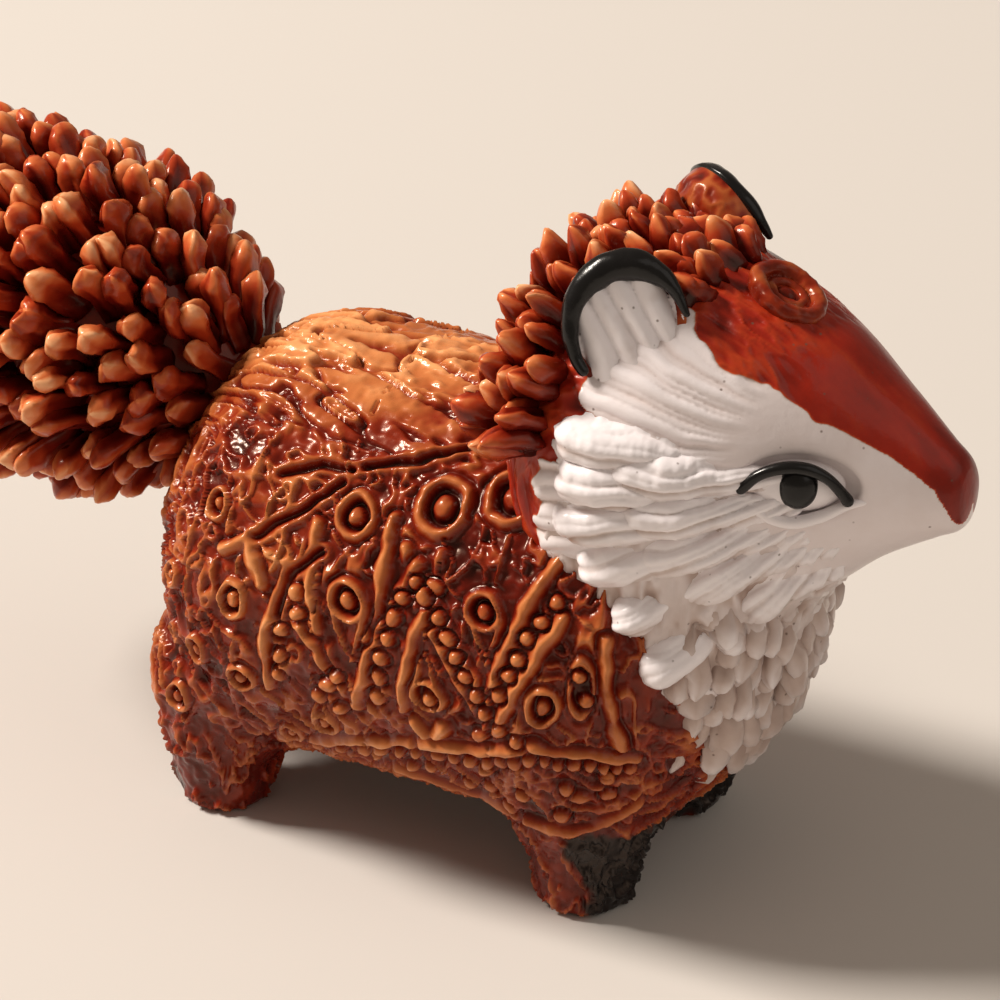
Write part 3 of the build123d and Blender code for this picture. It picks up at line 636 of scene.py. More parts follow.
for end, leg_y in (("front", front_leg_y), ("rear", rear_leg_y)):
    def blended(x, y, z, leg_y=leg_y):
        return flowing_out(barrel_field(x, y, z), leg_field(x, y, z, leg_y), leg_blend, 0.6)

    for hand, side in (("right", -1), ("left", 1)):
        leg_low = (side * 5.7 - 5.5, leg_y - 6, -0.3)
        leg_high = (side * 5.7 + 5.5, leg_y + 6, 12.5)
        make_carved(f"{end}_{hand}_leg", blended, leg_low, leg_high, "leg_paint")


# Head: ovals along it, a socket for the eye, and strands combed back over the cheek.
# Each station: share of the head's length, half width, underside and top,
# the last three as shares of half the head's width and of its height.
head_table = [
    (0, 0.06, 0.48, 0.55), (0.012, 0.14, 0.43, 0.595), (0.062, 0.222, 0.39, 0.65),
    (0.163, 0.372, 0.31, 0.755), (0.28, 0.567, 0.18, 0.87), (0.416, 0.778, 0.075, 0.945),
    (0.572, 0.944, 0.01, 0.99), (0.7, 1, 0, 0.965), (0.8, 0.9, 0.1, 0.87), (0.88, 0.6, 0.3, 0.72),
]
read_width = smooth_table(head_table, 1)
read_under = smooth_table(head_table, 2)
read_top = smooth_table(head_table, 3)


def head_oval(y):
    """Half width, centre height and half height of the head at a station."""
    share = (y - head_nose_y) / head_length
    half_width = read_width(share) * head_width / 2
    under = head_base_height + read_under(share) * head_height
    top = head_base_height + read_top(share) * head_height
    return half_width, (under + top) / 2, (top - under) / 2


def head_base(x, y, z):
    half_width, centre, half_height = head_oval(y)
    far = np.hypot(x / half_width, (z - centre) / half_height)
    side = (far - 1) * np.minimum(half_width, half_height)
    return smooth_cut(np.maximum(side, y - head_rear_y), y - head_nose_y - 0.05, 0.7)


def frame_at(origin, facing, along):
    """Origin, and along, up and outward directions of a small plane."""
    outward = unit(np.array(facing))
    along = np.array(along) - np.dot(along, outward) * outward
    along = unit(along)
    return np.array(origin, float), np.stack([along, np.cross(outward, along), outward])


def in_frame(x, y, z, place):
    """Coordinates in a small plane."""
    origin, rows = place
    moves = (x - origin[0], y - origin[1], z - origin[2])
    return [row[0] * moves[0] + row[1] * moves[1] + row[2] * moves[2] for row in rows]


def local(x, y, z, place):
    """Coordinates in a plane on the right side, and its mirror image on the left."""
    return in_frame(-np.abs(x), y, z, place)


def on_plane(place, a, b, c):
    origin, rows = place
    return origin + rows[0] * a + rows[1] * b + rows[2] * c


eye_place = frame_at((-4.75, -11.05, 26.2), (-0.86, -0.5, 0.08), (0.5, -0.86, -0.06))
ear_place = frame_at((-5.5, -2.1, 33.4), (-0.86, -0.447, 0.247), (0.461, -0.887, 0))
socket_halves = (3.0, 1.75, 0.75)


def head_field(x, y, z):
    a, b, c = local(x, y, z, eye_place)
    socket = np.where(c > -0.6, egg((a, b - 0.05, c), socket_halves, 0.7), 1)
    return smooth_cut(head_base(x, y, z), socket, 0.35)


# Where the red of the brow and snout meets the white: degrees from the top at places along the head
border_y = [-18.2, -17.95, -17.7, -17.4, -16.9, -15.9, -14.8, -13.0, -11.3, -9.7, -6.8, -4.8, -4.1]
border_turn = [180, 150, 119, 92, 71, 61, 56, 53, 51, 44, 42, 28, 24]
turn_per_millimetre = 12

# Where the red behind the cheek begins: heights, and the place along the head at each
rear_border_z = [26.6, 27.3, 28.7, 29.6]
rear_border_y = [1.0, -2.6, -2.6, -0.9]

# The strands spread from this place on the snout
comb_y = -15.0
comb_z = 27.6


def combed_strands(points):
    """Height of the strands that spread over the cheek, sharp in the valleys, with angle and reach."""
    x, y, z = points.T
    angle = np.degrees(np.arctan2(comb_z - z, y - comb_y))
    reach = np.hypot(z - comb_z, y - comb_y)
    angle = angle + 2.2 * noise(points, 3.4, 81) + 0.7 * noise(points, 1.2, 87)
    wide = np.abs(np.sin(np.radians(angle * 30))) ** 0.8
    fine = np.abs(np.sin(np.radians(angle * 57 + 40))) ** 0.8
    uneven = 0.5 + 0.5 * noise(points, 1.8, 88)
    return (wide * (0.55 + 0.25 * uneven) + fine * (0.45 - 0.25 * uneven)) * 2 - 1.1, angle, reach


def face_relief(points):
    """Waves combed back over the cheek and the fur between the ears, with the paint's tone."""
    x, y, z = points.T
    side = np.abs(x)
    combed, angle, reach = combed_strands(points)
    cheek = smooth_step(reach, 6.2, 9.0) * smooth_step(side, 2.4, 4.2) * smooth_step(angle, -48, -34)
    half_width, centre, half_height = head_oval(y)
    turn = np.degrees(np.arctan2(side / half_width, (z - centre) / half_height))
    ragged = 0.25 * noise(points, 0.9, 82) + 0.12 * noise(points, 0.4, 83)
    ragged *= 0.3 + 0.7 * smooth_step(y, -13.5, -9.5)
    inside = (np.interp(y, border_y, border_turn) - turn) / turn_per_millimetre
    red = smooth_step(inside + ragged, -0.08, 0.08)
    behind = smooth_step(y - np.interp(z, rear_border_z, rear_border_y) + ragged * 2, -0.1, 0.1)
    red = np.clip(red + behind, 0, 1)
    fur = rough_noise(np.stack([side * 1.5, y * 0.5 + side * 0.4, z * 0.3], 1), 0.9, 84)
    fur_relief = (0.6 - 2.4 * np.abs(fur)) * smooth_step(y, -11.5, -8.5)
    plain = 0.3 * noise(points, 1.6, 85)
    relief = cheek * combed * (1 - red) + fur_relief * red + plain * 0.3
    white_tone = 0.76 + 0.17 * np.minimum(combed, 0.3) * cheek + 0.05 * plain
    snout_streak = rough_noise(np.stack([x * 1.4, y * 0.25, z * 0.4], 1), 0.8, 86)
    red_tone = 0.2 + 0.16 * fur_relief + 0.1 * snout_streak - 0.1 * smooth_step(-y, 15.5, 17.5)
    return relief, white_tone * (1 - red) + np.clip(red_tone, 0, 0.38) * red


points, quads = skin_of(head_field, (-9.6, -18.8, 14.6), (9.6, 4.8, 35.4), fine_pitch)
relief, tone = face_relief(points)
moved = pushed(points, head_field, relief * head_relief_height)
make_piece("head", moved, quads, "white_paint", face_paint, tone=tone)


# Cheek locks: broad strands that end in round lobes.
# Each lock: share of the head's length and height at its tip, and its fall in degrees from level.
outer_lock_shares = [
    (0.71, 0.66, -6), (0.7, 0.55, 2), (0.7, 0.43, 12), (0.66, 0.29, 30), (0.58, 0.155, 48), (0.52, 0.02, 60),
]
inner_lock_shares = [
    (0.6, 0.6, -4), (0.57, 0.48, 8), (0.55, 0.35, 22), (0.49, 0.24, 38), (0.43, 0.12, 54),
]
lock_blend = 0.3


def smooth_path(points, radii, steps):
    """A curve through the points, evenly divided, with its thickness."""
    padded = np.concatenate([[2 * points[0] - points[1]], points, [2 * points[-1] - points[-2]]])
    count = len(points) - 1
    path = []
    thick = []
    for place in np.linspace(0, count, steps):
        index = min(int(place), count - 1)
        t = place - index
        p0, p1, p2, p3 = padded[index:index + 4]
        path.append(0.5 * (2 * p1 + (p2 - p0) * t + (2 * p0 - 5 * p1 + 4 * p2 - p3) * t ** 2
                           + (3 * p1 - p0 - 3 * p2 + p3) * t ** 3))
        thick.append(radii[index] + (radii[index + 1] - radii[index]) * t)
    return np.array(path), np.array(thick)


def strand_field(x, y, z, path, sizes):
    """Distance from a chain of balls whose size changes along it."""
    best = np.full(np.shape(x), 99.0, np.float32)
    for start, end, first, last in zip(path, path[1:], sizes, sizes[1:]):
        run = end - start
        share = (x - start[0]) * run[0] + (y - start[1]) * run[1] + (z - start[2]) * run[2]
        share = np.clip(share / np.dot(run, run), 0, 1)
        distance = np.sqrt((x - start[0] - share * run[0]) ** 2 + (y - start[1] - share * run[1]) ** 2
                           + (z - start[2] - share * run[2]) ** 2)
        best = np.minimum(best, distance - first - share * (last - first))
    return best


def barrel_reach(y):
    front = max(chest_y + chest_rounding - y, 0)
    rear = max(y - rump_y + rump_rounding, 0)
    rounding, past = (chest_rounding, front) if front > 0 else (rump_rounding, rear)
    return barrel_radius - rounding + sqrt(max(rounding ** 2 - past ** 2, 0))


def side_reach(y, z):
    """How far head or body stands out sideways at a height."""
    half_width, centre, half_height = head_oval(y)
    in_head = max(1 - ((z - centre) / half_height) ** 2, 0)
    in_body = max(barrel_reach(y) ** 2 - (z - barrel_axis_height) ** 2, 0)
    return max(half_width * sqrt(in_head), sqrt(in_body))


def lock_chain(along_share, height_share, fall_degrees, length, sizes, sink):
    """Path of one lock over the cheek, from its root to its lobe."""
    tip_y = head_nose_y + along_share * head_length
    tip_z = head_base_height + height_share * head_height
    path = []
    for share in np.linspace(0, 1, len(sizes)):
        back = sizes[-1] + (1 - share) * (length - sizes[-1])
        fall = radians(fall_degrees * (0.55 + 0.45 * share))
        y = tip_y - back * cos(fall)
        z = tip_z + back * sin(fall)
        path.append((-side_reach(y, z) + sink * (1.6 - share), y, z))
    return smooth_path(np.array(path), sizes, 14)


def lock_row(shares, length, sizes, sink):
    """The locks of one row, which flow out of the cheek where they meet it."""
    chains = [lock_chain(*row, length, sizes, sink) for row in shares]

    def field(x, y, z):
        best = strand_field(x, y, z, *chains[0])
        for chain in chains[1:]:
            best = smooth_union(best, strand_field(x, y, z, *chain), 0.1)
        return flowing_out(head_base(x, y, z), best, lock_blend, 1.2)

    return field


outer_field = lock_row(outer_lock_shares, length=5.4, sizes=[0.6, 0.9, 1.15, 1.25, 1.1], sink=0.15)
inner_field = lock_row(inner_lock_shares, length=7.2, sizes=[0.2, 0.45, 0.85, 1.25, 1.1], sink=0.2)
for name, field in (("cheek_locks_outer", outer_field), ("cheek_locks_inner", inner_field)):
    points, quads = skin_of(field, (-11.2, -16, 12.5), (-2.5, 3.2, 31.5), fine_pitch)
    combed = combed_strands(points)[0]
    small = rough_noise(points, 1.1, 92)
    moved = pushed(points, field, 0.13 * combed + 0.12 * small)
    # Painted light: faces of the locks that turn upward are painted lighter.
    up = gradient_of(field, points)[:, 2]
    tone = 0.6 + 0.16 * up + 0.2 * np.minimum(combed, 0.3) + 0.08 * small
    make_pair(name, moved, quads, "white_paint", white_paint, tone=tone)


# Bib: an apron on the chest that flows out of the jaw, with small hanging tufts
bib_centre = np.array([0.0, -3.5, 17.4])
bib_half = np.array([8.2, 6.1, 10.6])
bib_blend = 2.4


def bib_field(x, y, z):
    apron = egg((x - bib_centre[0], y - bib_centre[1], z - bib_centre[2]), bib_half, 6.5)
    return np.maximum(flowing_out(head_base(x, y, z), apron, bib_blend, 0.6), y - 0.5)


points, quads = skin_of(bib_field, (-9, -12.5, 7), (9, 1, 27), skin_pitch)
fur = rough_noise(points * np.array([1.0, 1.0, 0.45]), 1.0, 101)
lumps = noise(points, (1.2, 1.2, 1.6), 102)
moved = pushed(points, bib_field, 0.26 * (0.5 - 2 * np.abs(fur)) + 0.12 * lumps)
# Painted shade: the whole bib is painted in a low tone, for the shadow that the head casts on it; the
# grooves of its fur are darker.
tone = 0.47 - 0.5 * np.maximum(np.abs(fur) - 0.15, 0) + 0.06 * lumps
make_piece("chest_bib", moved, quads, "white_paint", white_paint, tone=tone)


# Tufts: drops that are pressed on side by side.
# Each level of a profile: share of the tuft's length, and its width there as a share.
drop_profile = [
    (0, 1.0), (0.12, 0.92), (0.24, 0.86), (0.36, 0.84), (0.48, 0.88), (0.6, 0.95), (0.7, 1.0), (0.79, 0.97),
    (0.86, 0.86), (0.92, 0.68), (0.965, 0.46), (0.99, 0.26), (1.0, 0.08),
]
leaf_profile = [
    (0, 0.6), (0.15, 0.75), (0.35, 0.92), (0.55, 1.0), (0.72, 0.92), (0.85, 0.72), (0.94, 0.45), (1.0, 0.12),
]
flame_profile = [
    (0, 0.78), (0.16, 0.86), (0.32, 0.95), (0.5, 1.0), (0.66, 0.96), (0.79, 0.8), (0.89, 0.58), (0.96, 0.36),
    (1.0, 0.1),
]
drop_sides = 12
tuft_bury = 0.35
tuft_lump_height = 0.17
tuft_lump_spacing = 0.7
rng = np.random.default_rng(7)


def either_way(span):
    return rng.uniform(-span, span)


def drop(root, direction, outward, length, width, thickness, curl, profile=drop_profile, pinch=0.0):
    """One tuft: points, faces and tone of a drop that bends outward toward its tip."""
    direction = unit(direction)
    side = unit(np.cross(direction, outward))
    upward = np.cross(side, direction)
    angles = 2 * np.pi * np.arange(drop_sides) / drop_sides
    facet = rng.uniform(0, 2 * pi, 2)
    uneven = 1 + 0.15 * np.cos(3 * angles + facet[0]) + 0.1 * np.cos(5 * angles + facet[1])
    uneven = uneven * (1 + 0.07 * rng.uniform(-1, 1, (len(profile), drop_sides)))
    own_tone = 0.66 + rng.uniform(-0.26, 0.2)
    keel = 1 + pinch * (1 - np.abs(np.cos(angles)) * 2)
    points = []
    tones = []
    for (share, scale), ring in zip(profile, uneven):
        centre = root + direction * length * share + upward * curl * share ** 2
        across = np.cos(angles) * width / 2 * scale * ring
        lift = np.sin(angles) * thickness / 2 * scale * ring
        lift = np.where(lift > 0, lift * keel, lift)
        points.extend(centre + side * across[:, None] + upward * lift[:, None])
        # Painted light: the outer side of each tuft and its bulges are painted lighter; the tone also rises
        # from dark at the root to light at the tip.
        lit = 0.14 * np.maximum(np.sin(angles), 0) + 0.7 * (ring - 1)
        tones.extend(0.05 + own_tone * share ** 1.8 + lit)
    faces = band_faces(len(profile), drop_sides)
    faces.append(list(range(drop_sides))[::-1])
    faces.append([len(points) - drop_sides + number for number in range(drop_sides)])
    return np.array(points), faces, np.array(tones)


def how_many(length, spacing, least):
    """How many tufts stand side by side along a length."""
    return max(int(round(length / spacing)), least)


def make_bunch(name, tufts, slot, material, tone_base=0.0, tone_share=1.0):
    """Many tufts in one piece."""
    points = []
    faces = []
    tones = []
    for tuft_points, tuft_faces, tuft_tones in tufts:
        start = len(points)
        lumps = three_noises(tuft_points, tuft_lump_spacing, 131)
        points.extend(tuft_points + tuft_lump_height * lumps)
        faces.extend([start + corner for corner in face] for face in tuft_faces)
        tones.extend(tone_base + tone_share * tuft_tones)
    make_piece(name, points, faces, slot, material, tone=tones)


# Each station of the tail's core: share of its length and share of its greatest radius
tail_table = [
    (-0.16, 0.4), (-0.01, 0.42), (0.1, 0.68), (0.2, 0.88), (0.36, 1), (0.56, 0.95), (0.78, 0.7), (1, 0.32),
]
tail_direction = np.array([0.0, cos(tail_rise), sin(tail_rise)])
tail_across = np.array([1.0, 0.0, 0.0])
tail_up = np.cross(tail_across, tail_direction)
tail_tuft_length = 3.8
tail_tuft_width = 1.6
tail_tuft_thickness = 1.3
tail_tuft_splay = 50
tail_tuft_spacing = 2.25
tail_widest_splay = radians(74)
row_pitch = tail_core_length * 1.01 / tail_row_count


def tail_reach(along):
    shares, sizes = zip(*tail_table)
    return np.interp(along / tail_core_length, shares, sizes) * tail_core_radius


for row in range(tail_row_count):
    tufts = []
    for half_row in (0, 1):
        start = -0.01 * tail_core_length + (row + half_row / 2) * row_pitch
        reach = tail_reach(start)
        count = how_many(2 * pi * (reach + 1.2), tail_tuft_spacing, 7)
        slope = atan2(tail_reach(start + row_pitch / 2) - tail_reach(start - row_pitch / 2), row_pitch)
        for number in range(count):
            angle = 2 * pi * (number + 0.5 * half_row + either_way(0.2)) / count
            outward = leaning(tail_across, tail_up, angle)
            along = start + either_way(0.4)
            splay = slope * 0.7 + radians(tail_tuft_splay + either_way(10))
            splay = min(splay, tail_widest_splay)
            sideways = np.cross(tail_direction, outward) * either_way(0.22)
            direction = leaning(tail_direction, outward, splay) + sideways
            root = tail_root + tail_direction * along + outward * (tail_reach(along) - tuft_bury)
            length = tail_tuft_length * rng.uniform(0.75, 1.08)
            width = tail_tuft_width * rng.uniform(0.8, 1.2)
            tufts.append(drop(root, direction, outward, length, width, tail_tuft_thickness, curl=0.15))
    make_bunch(f"tail_row_{row + 1:02d}", tufts, "tuft_paint", tuft_paint)

# Bud at the tail's end: one tuft in the middle and five around it
bud_spread = 0.9
bud_sink = 0.6
tufts = []
tip_centre = tail_root + tail_direction * tail_core_length
for ring_index, (count, tilt, length) in enumerate(((1, 0, 4.0), (5, 26, 3.9))):
    for number in range(count):
        angle = 2 * pi * number / count
        outward = leaning(tail_across, tail_up, angle)
        direction = leaning(tail_direction, outward, radians(tilt))
        root = tip_centre + outward * bud_spread * ring_index - tail_direction * bud_sink
        tufts.append(drop(root, direction, outward, length, width=1.9, thickness=1.5, curl=0.1))
make_bunch("tail_tip", tufts, "tuft_paint", tuft_paint)


# Mane: rows of small tufts over the crown and down the nape.
# Each row: station as a share of the head's length, reach to each side and lift of the tufts
# in degrees, and their length.
mane_rows = [
    (0.5, 24, 42, 2.2), (0.58, 26, 44, 2.4), (0.66, 30, 48, 2.7), (0.74, 78, 54, 3.2), (0.815, 82, 50, 3.3),
]
mane_tuft_width = 1.4
mane_tuft_thickness = 1.2
mane_tuft_curl = 0.2
mane_tuft_keel = 0.3
mane_tuft_spacing = 1.25

# Rings of tufts on the flat rear of the head, as shares of its oval
nape_shares = [0.2, 0.42, 0.64, 0.86]
nape_y = 3.7
nape_lowest = 24.6
nape_tuft_length = 2.0
nape_tuft_spacing = 1.4
backward = np.array([0.0, 1.0, 0.0])


def mane_tuft(root, direction, outward, length, width_share):
    return drop(root, direction, outward, length, mane_tuft_width * width_share, mane_tuft_thickness,
                mane_tuft_curl, flame_profile, mane_tuft_keel)


for row, (start_share, reach, lift_degrees, tuft_length) in enumerate(mane_rows):
    tufts = []
    for half_row in (0, 1):
        y = head_nose_y + (start_share + 0.04 * half_row) * head_length
        half_width, centre, half_height = head_oval(y)
        count = how_many(2 * radians(reach) * half_width, mane_tuft_spacing, 3)
        for number in range(count):
            angle = radians(reach * (2 * (number + 0.5 + either_way(0.2)) / count - 1))
            outward = unit(np.array([sin(angle) / half_width, 0, cos(angle) / half_height]))
            lift = radians(lift_degrees + rng.uniform(-12, 16))
            sway = np.array([either_way(0.2), 0, 0])
            direction = leaning(backward, outward, lift) + sway
            root = np.array([half_width * sin(angle), y + either_way(0.3),
                             centre + half_height * cos(angle)]) - outward * 0.3
            length = tuft_length * rng.uniform(0.75, 1.1)
            tufts.append(mane_tuft(root, direction, outward, length, rng.uniform(0.7, 1.25)))
    if row == len(mane_rows) - 1:
        half_width, centre, half_height = head_oval(nape_y)
        for nape_share in nape_shares:
            count = how_many(2 * pi * half_width * nape_share, nape_tuft_spacing, 1)
            for number in range(count):
                angle = 2 * pi * (number + either_way(0.25)) / count
                outward = np.array([sin(angle), 0, cos(angle)])
                root = np.array([half_width * nape_share * sin(angle), nape_y,
                                 centre + half_height * nape_share * cos(angle)])
                if root[2] < nape_lowest:
                    continue
                direction = np.array([either_way(0.2), 1.0, 0.25]) + outward * 0.35
                length = nape_tuft_length * rng.uniform(0.75, 1.15)
                tufts.append(mane_tuft(root, direction, outward, length, rng.uniform(0.75, 1.25)))
    make_bunch(f"mane_row_{row + 1}", tufts, "tuft_paint", tuft_paint)


# Tufts of the bib: the level of each row, and how far it reaches to each side, in degrees
bib_levels = [20, 7, -6, -19, -32]
bib_spread = 62
bib_tuft_length = 3.0
bib_tuft_width = 1.5
bib_tuft_thickness = 1.0
bib_tuft_splay = 14
bib_tuft_spacing = 1.5
bib_tuft_curl = -0.1
bib_tuft_keel = 0.25
# Painted shade: the bib's tufts are painted in low tones, for the shadow that the head casts on the chest.
bib_shaded_tone_base = 0.22
bib_tone_share = 0.38
bib_reach = 7.5

for row, row_level in enumerate(bib_levels):
    tufts = []
    for half_row in (0, 1):
        level = radians(row_level - 6 - 7 * half_row)
        count = how_many(radians(2 * bib_spread) * bib_reach * cos(level), bib_tuft_spacing, 5)
        for number in range(count):
            share = (number + 0.5 + either_way(0.4)) / count
            azimuth = radians(bib_spread * (2 * share - 1))
            aim = np.array([sin(azimuth) * cos(level), -cos(azimuth) * cos(level), sin(level)])
            outward = unit(aim / bib_half)
            down = unit(np.array([0, 0, -1.0]) + outward[2] * outward)
            splay = radians(bib_tuft_splay + either_way(9))
            sway = np.cross(down, outward) * either_way(0.3)
            direction = leaning(down, outward, splay) + sway
            length = bib_tuft_length * rng.uniform(0.6, 1.1)
            width = bib_tuft_width * rng.uniform(0.7, 1.3)
            root = bib_centre + aim * bib_half - outward * tuft_bury
            tufts.append(drop(root, direction, outward, length, width, bib_tuft_thickness,
                              bib_tuft_curl, leaf_profile, bib_tuft_keel))
    make_bunch(f"bib_row_{row + 1}", tufts, "white_paint", white_paint, bib_shaded_tone_base, bib_tone_share)


# Ears: a shell, a fluted lining and a rolled black rim
ear_half_width = 3.0
ear_half_height = 3.55
ear_depth = 2.6
ear_wall = 0.6
ear_hollow_depth = 1.7
leaf_halves = (2.8, 3.3, 0.7)
tongue_halves = (2.6, 3.2, 1.25)
ear_low = (-10.5, -8, 27.5)
ear_high = (-1.5, 3.5, 38)


def ear_dome(places, inset, depth):
    halves = (ear_half_width - inset, ear_half_height - inset, depth)
    return egg(places, halves, min(ear_half_width - inset, depth))


def ear_shell_field(x, y, z):
    places = local(x, y, z, ear_place)
    hollow = ear_dome(places, ear_wall, ear_hollow_depth)
    return np.maximum(smooth_cut(ear_dome(places, 0.0, ear_depth), hollow, 0.2), places[2] - 0.25)


def ear_lining_field(x, y, z):
    """A leaf kept inside the shell and a tongue that runs down to the cheek, both fluted."""
    a, b, c = local(x, y, z, ear_place)
    flutes = 0.3 * np.abs(np.sin(a * 2.2 + b * 0.9 + 0.9 * np.sin(b * 0.8 + a * 0.6))) ** 0.8 - 0.15
    leaf = egg((a, b + 0.2, c + 0.3), leaf_halves, 0.7)
    leaf = np.maximum(leaf, ear_dome((a, b, c), 0.35, 2.2))
    tongue = egg((a - 0.9, b + 3.3, c + 0.9), tongue_halves, 1.2)
    return smooth_union(leaf, tongue, 0.9) - flutes


points, quads = skin_of(ear_shell_field, ear_low, ear_high, fine_pitch)
rough = rough_noise(points * np.array([1.0, 1.0, 0.6]), 1.1, 111)
behind = smooth_step(-local(*points.T, ear_place)[2], 0.3, 1.2)
moved = pushed(points, ear_shell_field, 0.35 * (0.2 - np.abs(rough)) * behind - 0.08 * (1 - behind))
tone = 0.4 - 0.9 * (np.abs(rough) - 0.25)
make_pair("ear", moved, quads, "body_paint", body_paint, tone=tone, dark=0)
points, quads = skin_of(ear_lining_field, ear_low, ear_high, fine_pitch)
rough = rough_noise(points, 1.2, 112)
moved = pushed(points, ear_lining_field, 0.07 * rough)
make_pair("ear_lining", moved, quads, "white_paint", white_paint, tone=0.66 + 0.15 * rough)


def stroke_tube(points, radii, steps=40, sides=10):
    """A tube along a smooth path, with its own thickness at each point and rounded ends."""
    path, sizes = smooth_path(np.asarray(points, float), radii, steps)
    tangents = np.gradient(path, axis=0)
    tangents /= np.linalg.norm(tangents, axis=1, keepdims=True)
    upright = np.array([0.0, 0.0, 1.0])
    if abs(np.dot(tangents[0], upright)) > 0.9:
        upright = np.array([1.0, 0.0, 0.0])
    angles = (2 * np.pi * np.arange(sides) / sides)[:, None]
    rings_out = []
    for centre, tangent, size in zip(path, tangents, sizes):
        side = unit(np.cross(tangent, upright))
        rings_out.append(centre + size * (np.cos(angles) * side + np.sin(angles) * np.cross(side, tangent)))

    def end_ring(place, lean, way):
        """A ring of a rounded end, drawn in and moved out from the first or last ring."""
        drawn_in = path[place] + (rings_out[place] - path[place]) * cos(lean)
        return drawn_in + way * tangents[place] * sizes[place] * sin(lean)

    leans = [radians(degrees) for degrees in (80, 55, 28)]
    before = [end_ring(0, lean, -1) for lean in leans]
    after = [end_ring(-1, lean, 1) for lean in leans[::-1]]
    stack = before + rings_out + after
    faces = band_faces(len(stack), sides)
    first_pole = len(stack) * sides
    last_ring = first_pole - sides
    for number in range(sides):
        beside = (number + 1) % sides
        faces.append([first_pole, beside, number])
        faces.append([first_pole + 1, last_ring + number, last_ring + beside])
    return np.concatenate([*stack, [stack[0].mean(0)], [stack[-1].mean(0)]]), faces


# The rim's thickness at degrees around the ear, from its front edge over the top
rim_degrees = [8, 35, 65, 95, 125, 155, 190, 224]
rim_sizes = [0.18, 0.42, 0.74, 0.86, 0.78, 0.56, 0.42, 0.28]
rim_half_width = 3.1
rim_half_height = 3.6
rim_top = 0.7
rim_path = []
rim_size = []
for degrees in range(8, 226, 12):
    angle = radians(degrees)
    size = float(np.interp(degrees, rim_degrees, rim_sizes))
    across = (rim_half_width - size) * cos(angle)
    rim_path.append(on_plane(ear_place, across, (rim_half_height - size) * sin(angle), rim_top - size))
    rim_size.append(size)
points, faces = stroke_tube(rim_path, rim_size, steps=90, sides=20)
points = points + 0.06 * three_noises(points, 0.8, 113)

# The rim's back is pressed flat toward the shell
depth = local(*points.T, ear_place)[2]
points = points + ear_place[1][2] * (0.7 * np.maximum(-depth, 0))[:, None]
make_pair("ear_rim", points, faces, "black_paint", black_paint, tone=0.5)


# Eyes: a bead in the socket, the pupil, the lash line and the lower lid

def button_field(place, halves, lift):
    def field(x, y, z):
        a, b, c = local(x, y, z, place)
        return egg((a, b, c - lift), halves, min(halves))
    return field


eye_halves = (2.35, 1.35, 0.85)
eye_sink = 0.45
pupil_halves = (1.02, 1.18, 0.75)
pupil_rise = 0.15
eye_low = (-7.6, -15, 23)
eye_high = (-2.2, -7, 29)
points, quads = skin_of(button_field(eye_place, eye_halves, -eye_sink), eye_low, eye_high, small_pitch)
make_pair("eye", points, quads, "white_paint", white_paint, tone=0.68)
pupil_place = (on_plane(eye_place, 0.0, pupil_rise, 0), eye_place[1])
points, quads = skin_of(button_field(pupil_place, pupil_halves, 0.0), eye_low, eye_high, pupil_pitch)
make_pair("pupil", points, quads, "black_paint", black_paint, tone=0.5)

# Each point of a lid: place along the eye, up and outward, then the lid's thickness
upper_lid = [
    (-2.75, 0.0, 0.2, 0.3), (-1.95, 0.85, 0.42, 0.28), (-0.8, 1.33, 0.56, 0.32), (0.35, 1.3, 0.58, 0.32),
    (1.35, 0.8, 0.5, 0.28), (2.1, 0.0, 0.36, 0.28), (2.4, -0.4, 0.3, 0.32),
]
lower_lid = [
    (-2.7, -0.35, 0.0, 0.15), (-1.6, -1.35, 0.12, 0.3), (-0.2, -1.7, 0.18, 0.34), (1.2, -1.35, 0.15, 0.32),
    (2.4, -0.75, 0.1, 0.26), (3.6, -0.5, 0.0, 0.12),
]


def lid_tube(lid):
    return stroke_tube([on_plane(eye_place, *row[:3]) for row in lid], [row[3] for row in lid])


make_pair("upper_lid", *lid_tube(upper_lid), "black_paint", black_paint, tone=0.5)
make_pair("lower_lid", *lid_tube(lower_lid), "white_paint", white_paint, tone=0.72)


# Forehead ornament: an oval ring and the bead in it
boss_tilt = radians(27)
boss_y = -8.0
boss_half_width = 1.45
boss_half_length = 1.68
boss_bead_halves = (0.5, 0.6, 0.6)
_, head_centre, head_half_height = head_oval(boss_y)
boss_rows = [[1, 0, 0], [0, cos(boss_tilt), sin(boss_tilt)], [0, -sin(boss_tilt), cos(boss_tilt)]]
boss_place = (np.array([0.0, boss_y, head_centre + head_half_height]), np.array(boss_rows))
boss_low = (-3, -11.5, 30)
boss_high = (3, -4.5, 37)


def boss_ring_field(x, y, z):
    a, b, c = in_frame(x, y, z, boss_place)
    size = np.hypot(a / boss_half_width, b / boss_half_length)
    outer = np.hypot((size - 1) * 1.5, (c - 0.05) * 0.8) - 0.42
    inner = np.hypot((size - 0.52) * 1.5, c * 0.9) - 0.24
    return np.maximum(smooth_union(outer, inner, 0.12), -c - 0.9)


def boss_bead_field(x, y, z):
    a, b, c = in_frame(x, y, z, boss_place)
    return egg((a, b, c + 0.3), boss_bead_halves, 0.5)


for name, field, base in (("forehead_ring", boss_ring_field, 0.44), ("forehead_bead", boss_bead_field, 0.3)):
    points, quads = skin_of(field, boss_low, boss_high, small_pitch)
    rough = rough_noise(points, 0.8, 121)
    moved = pushed(points, field, 0.12 * rough)
    make_piece(name, moved, quads, "body_paint", body_paint, tone=base + 0.3 * rough, dark=0)


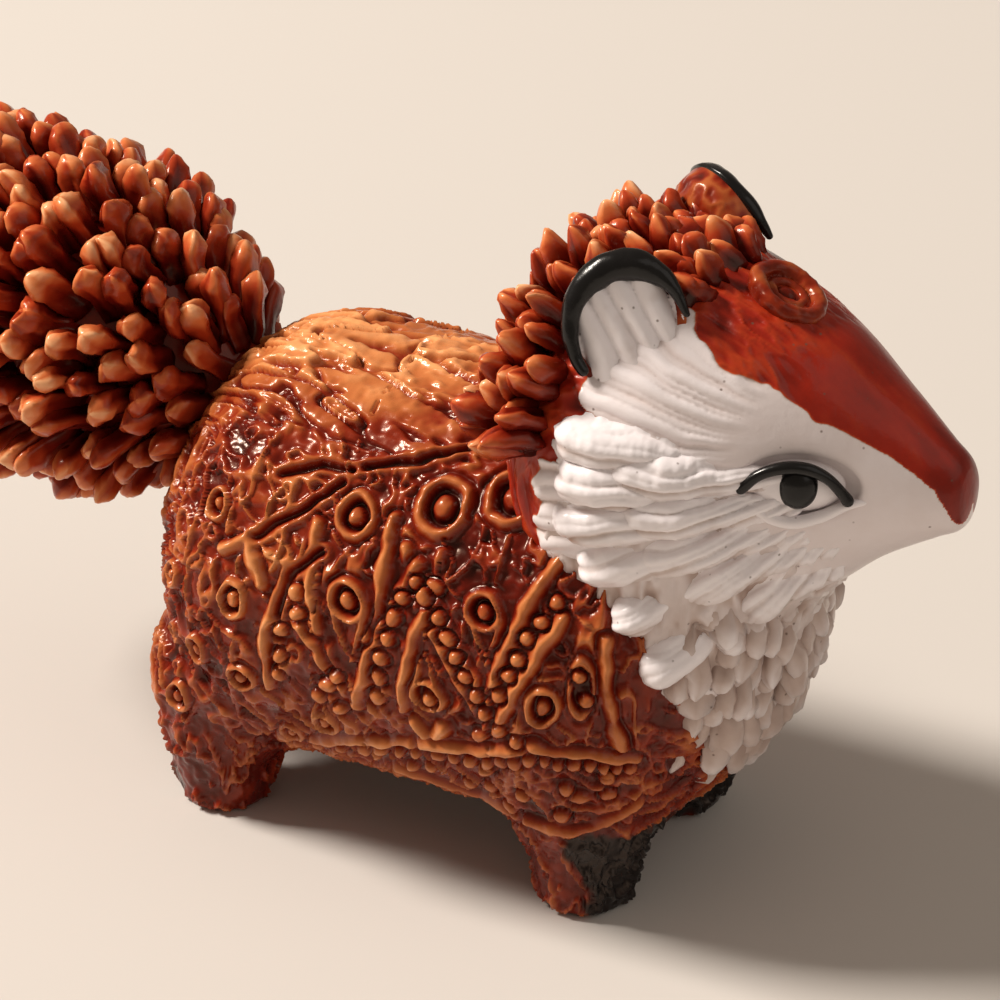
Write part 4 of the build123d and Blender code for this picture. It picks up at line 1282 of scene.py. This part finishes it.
# Tail core: kept from the model, in the dark red of the gaps
core_tone = 0.3
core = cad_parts["tail_core"]
core.data.materials.clear()
core.data.materials.append(tuft_paint)
attribute = core.data.attributes.new("tone", "FLOAT", "POINT")
attribute.data.foreach_set("value", [core_tone] * len(core.data.vertices))


# Floor, camera and light

def plain(name, colour, roughness):
    material = bpy.data.materials.new(name)
    material.use_nodes = True
    shader = material.node_tree.nodes["Principled BSDF"]
    shader.inputs["Base Color"].default_value = (*colour, 1)
    shader.inputs["Roughness"].default_value = roughness
    return material


floor_half = 3.0
floor_mesh = bpy.data.meshes.new("floor")
floor_corners = [(x * floor_half, y * floor_half, 0) for x, y in ((-1, -1), (1, -1), (1, 1), (-1, 1))]
floor_mesh.from_pydata(floor_corners, [], [[0, 1, 2, 3]])
floor_mesh.materials.append(plain("floor_paper", (0.62, 0.58, 0.54), 0.8))
floor = bpy.data.objects.new("floor", floor_mesh)
bpy.context.collection.objects.link(floor)

camera_azimuth = radians(-62)
camera_elevation = radians(30)
camera_distance = 0.350
focal_pixels = 7000
half_picture_pixels = 500
aim = Vector(placed((0, 7.6056, 18.1062)))
back = Vector((
    sin(camera_azimuth) * cos(camera_elevation),
    -cos(camera_azimuth) * cos(camera_elevation),
    sin(camera_elevation),
))
right = Vector((cos(camera_azimuth), sin(camera_azimuth), 0))
upward = back.cross(right)
turn = Matrix((right, upward, back)).transposed()
camera_data = bpy.data.cameras.new("camera")
camera_data.angle = 2 * atan(half_picture_pixels / focal_pixels)
camera_data.clip_start = 0.01
camera_data.clip_end = 20
camera = bpy.data.objects.new("camera", camera_data)
camera.matrix_world = Matrix.Translation(aim + back * camera_distance) @ turn.to_4x4()
bpy.context.collection.objects.link(camera)
bpy.context.scene.camera = camera


def area_light(name, direction, distance, size, watts, colour):
    """A soft lamp that looks at the figure; the direction is right, up and toward the camera."""
    data = bpy.data.lights.new(name, "AREA")
    data.size = size
    data.energy = watts
    data.color = colour
    lamp = bpy.data.objects.new(name, data)
    where = (right * direction[0] + upward * direction[1] + back * direction[2]).normalized() * distance
    lamp.location = aim + where
    lamp.rotation_euler = (-where).to_track_quat("-Z", "Y").to_euler()
    bpy.context.collection.objects.link(lamp)


area_light("key", (-1.0, 0.95, 0.3), distance=0.9, size=0.22, watts=12.8, colour=(1.0, 0.93, 0.85))
area_light("fill", (0.9, 0.4, 0.9), distance=0.6, size=0.5, watts=0.5, colour=(1.0, 0.95, 0.9))

world = bpy.data.worlds.new("studio")
world.use_nodes = True
world.node_tree.nodes["Background"].inputs["Color"].default_value = (0.95, 0.8, 0.66, 1)
world.node_tree.nodes["Background"].inputs["Strength"].default_value = 0.26
bpy.context.scene.world = world
bpy.context.scene.view_settings.view_transform = "Standard"
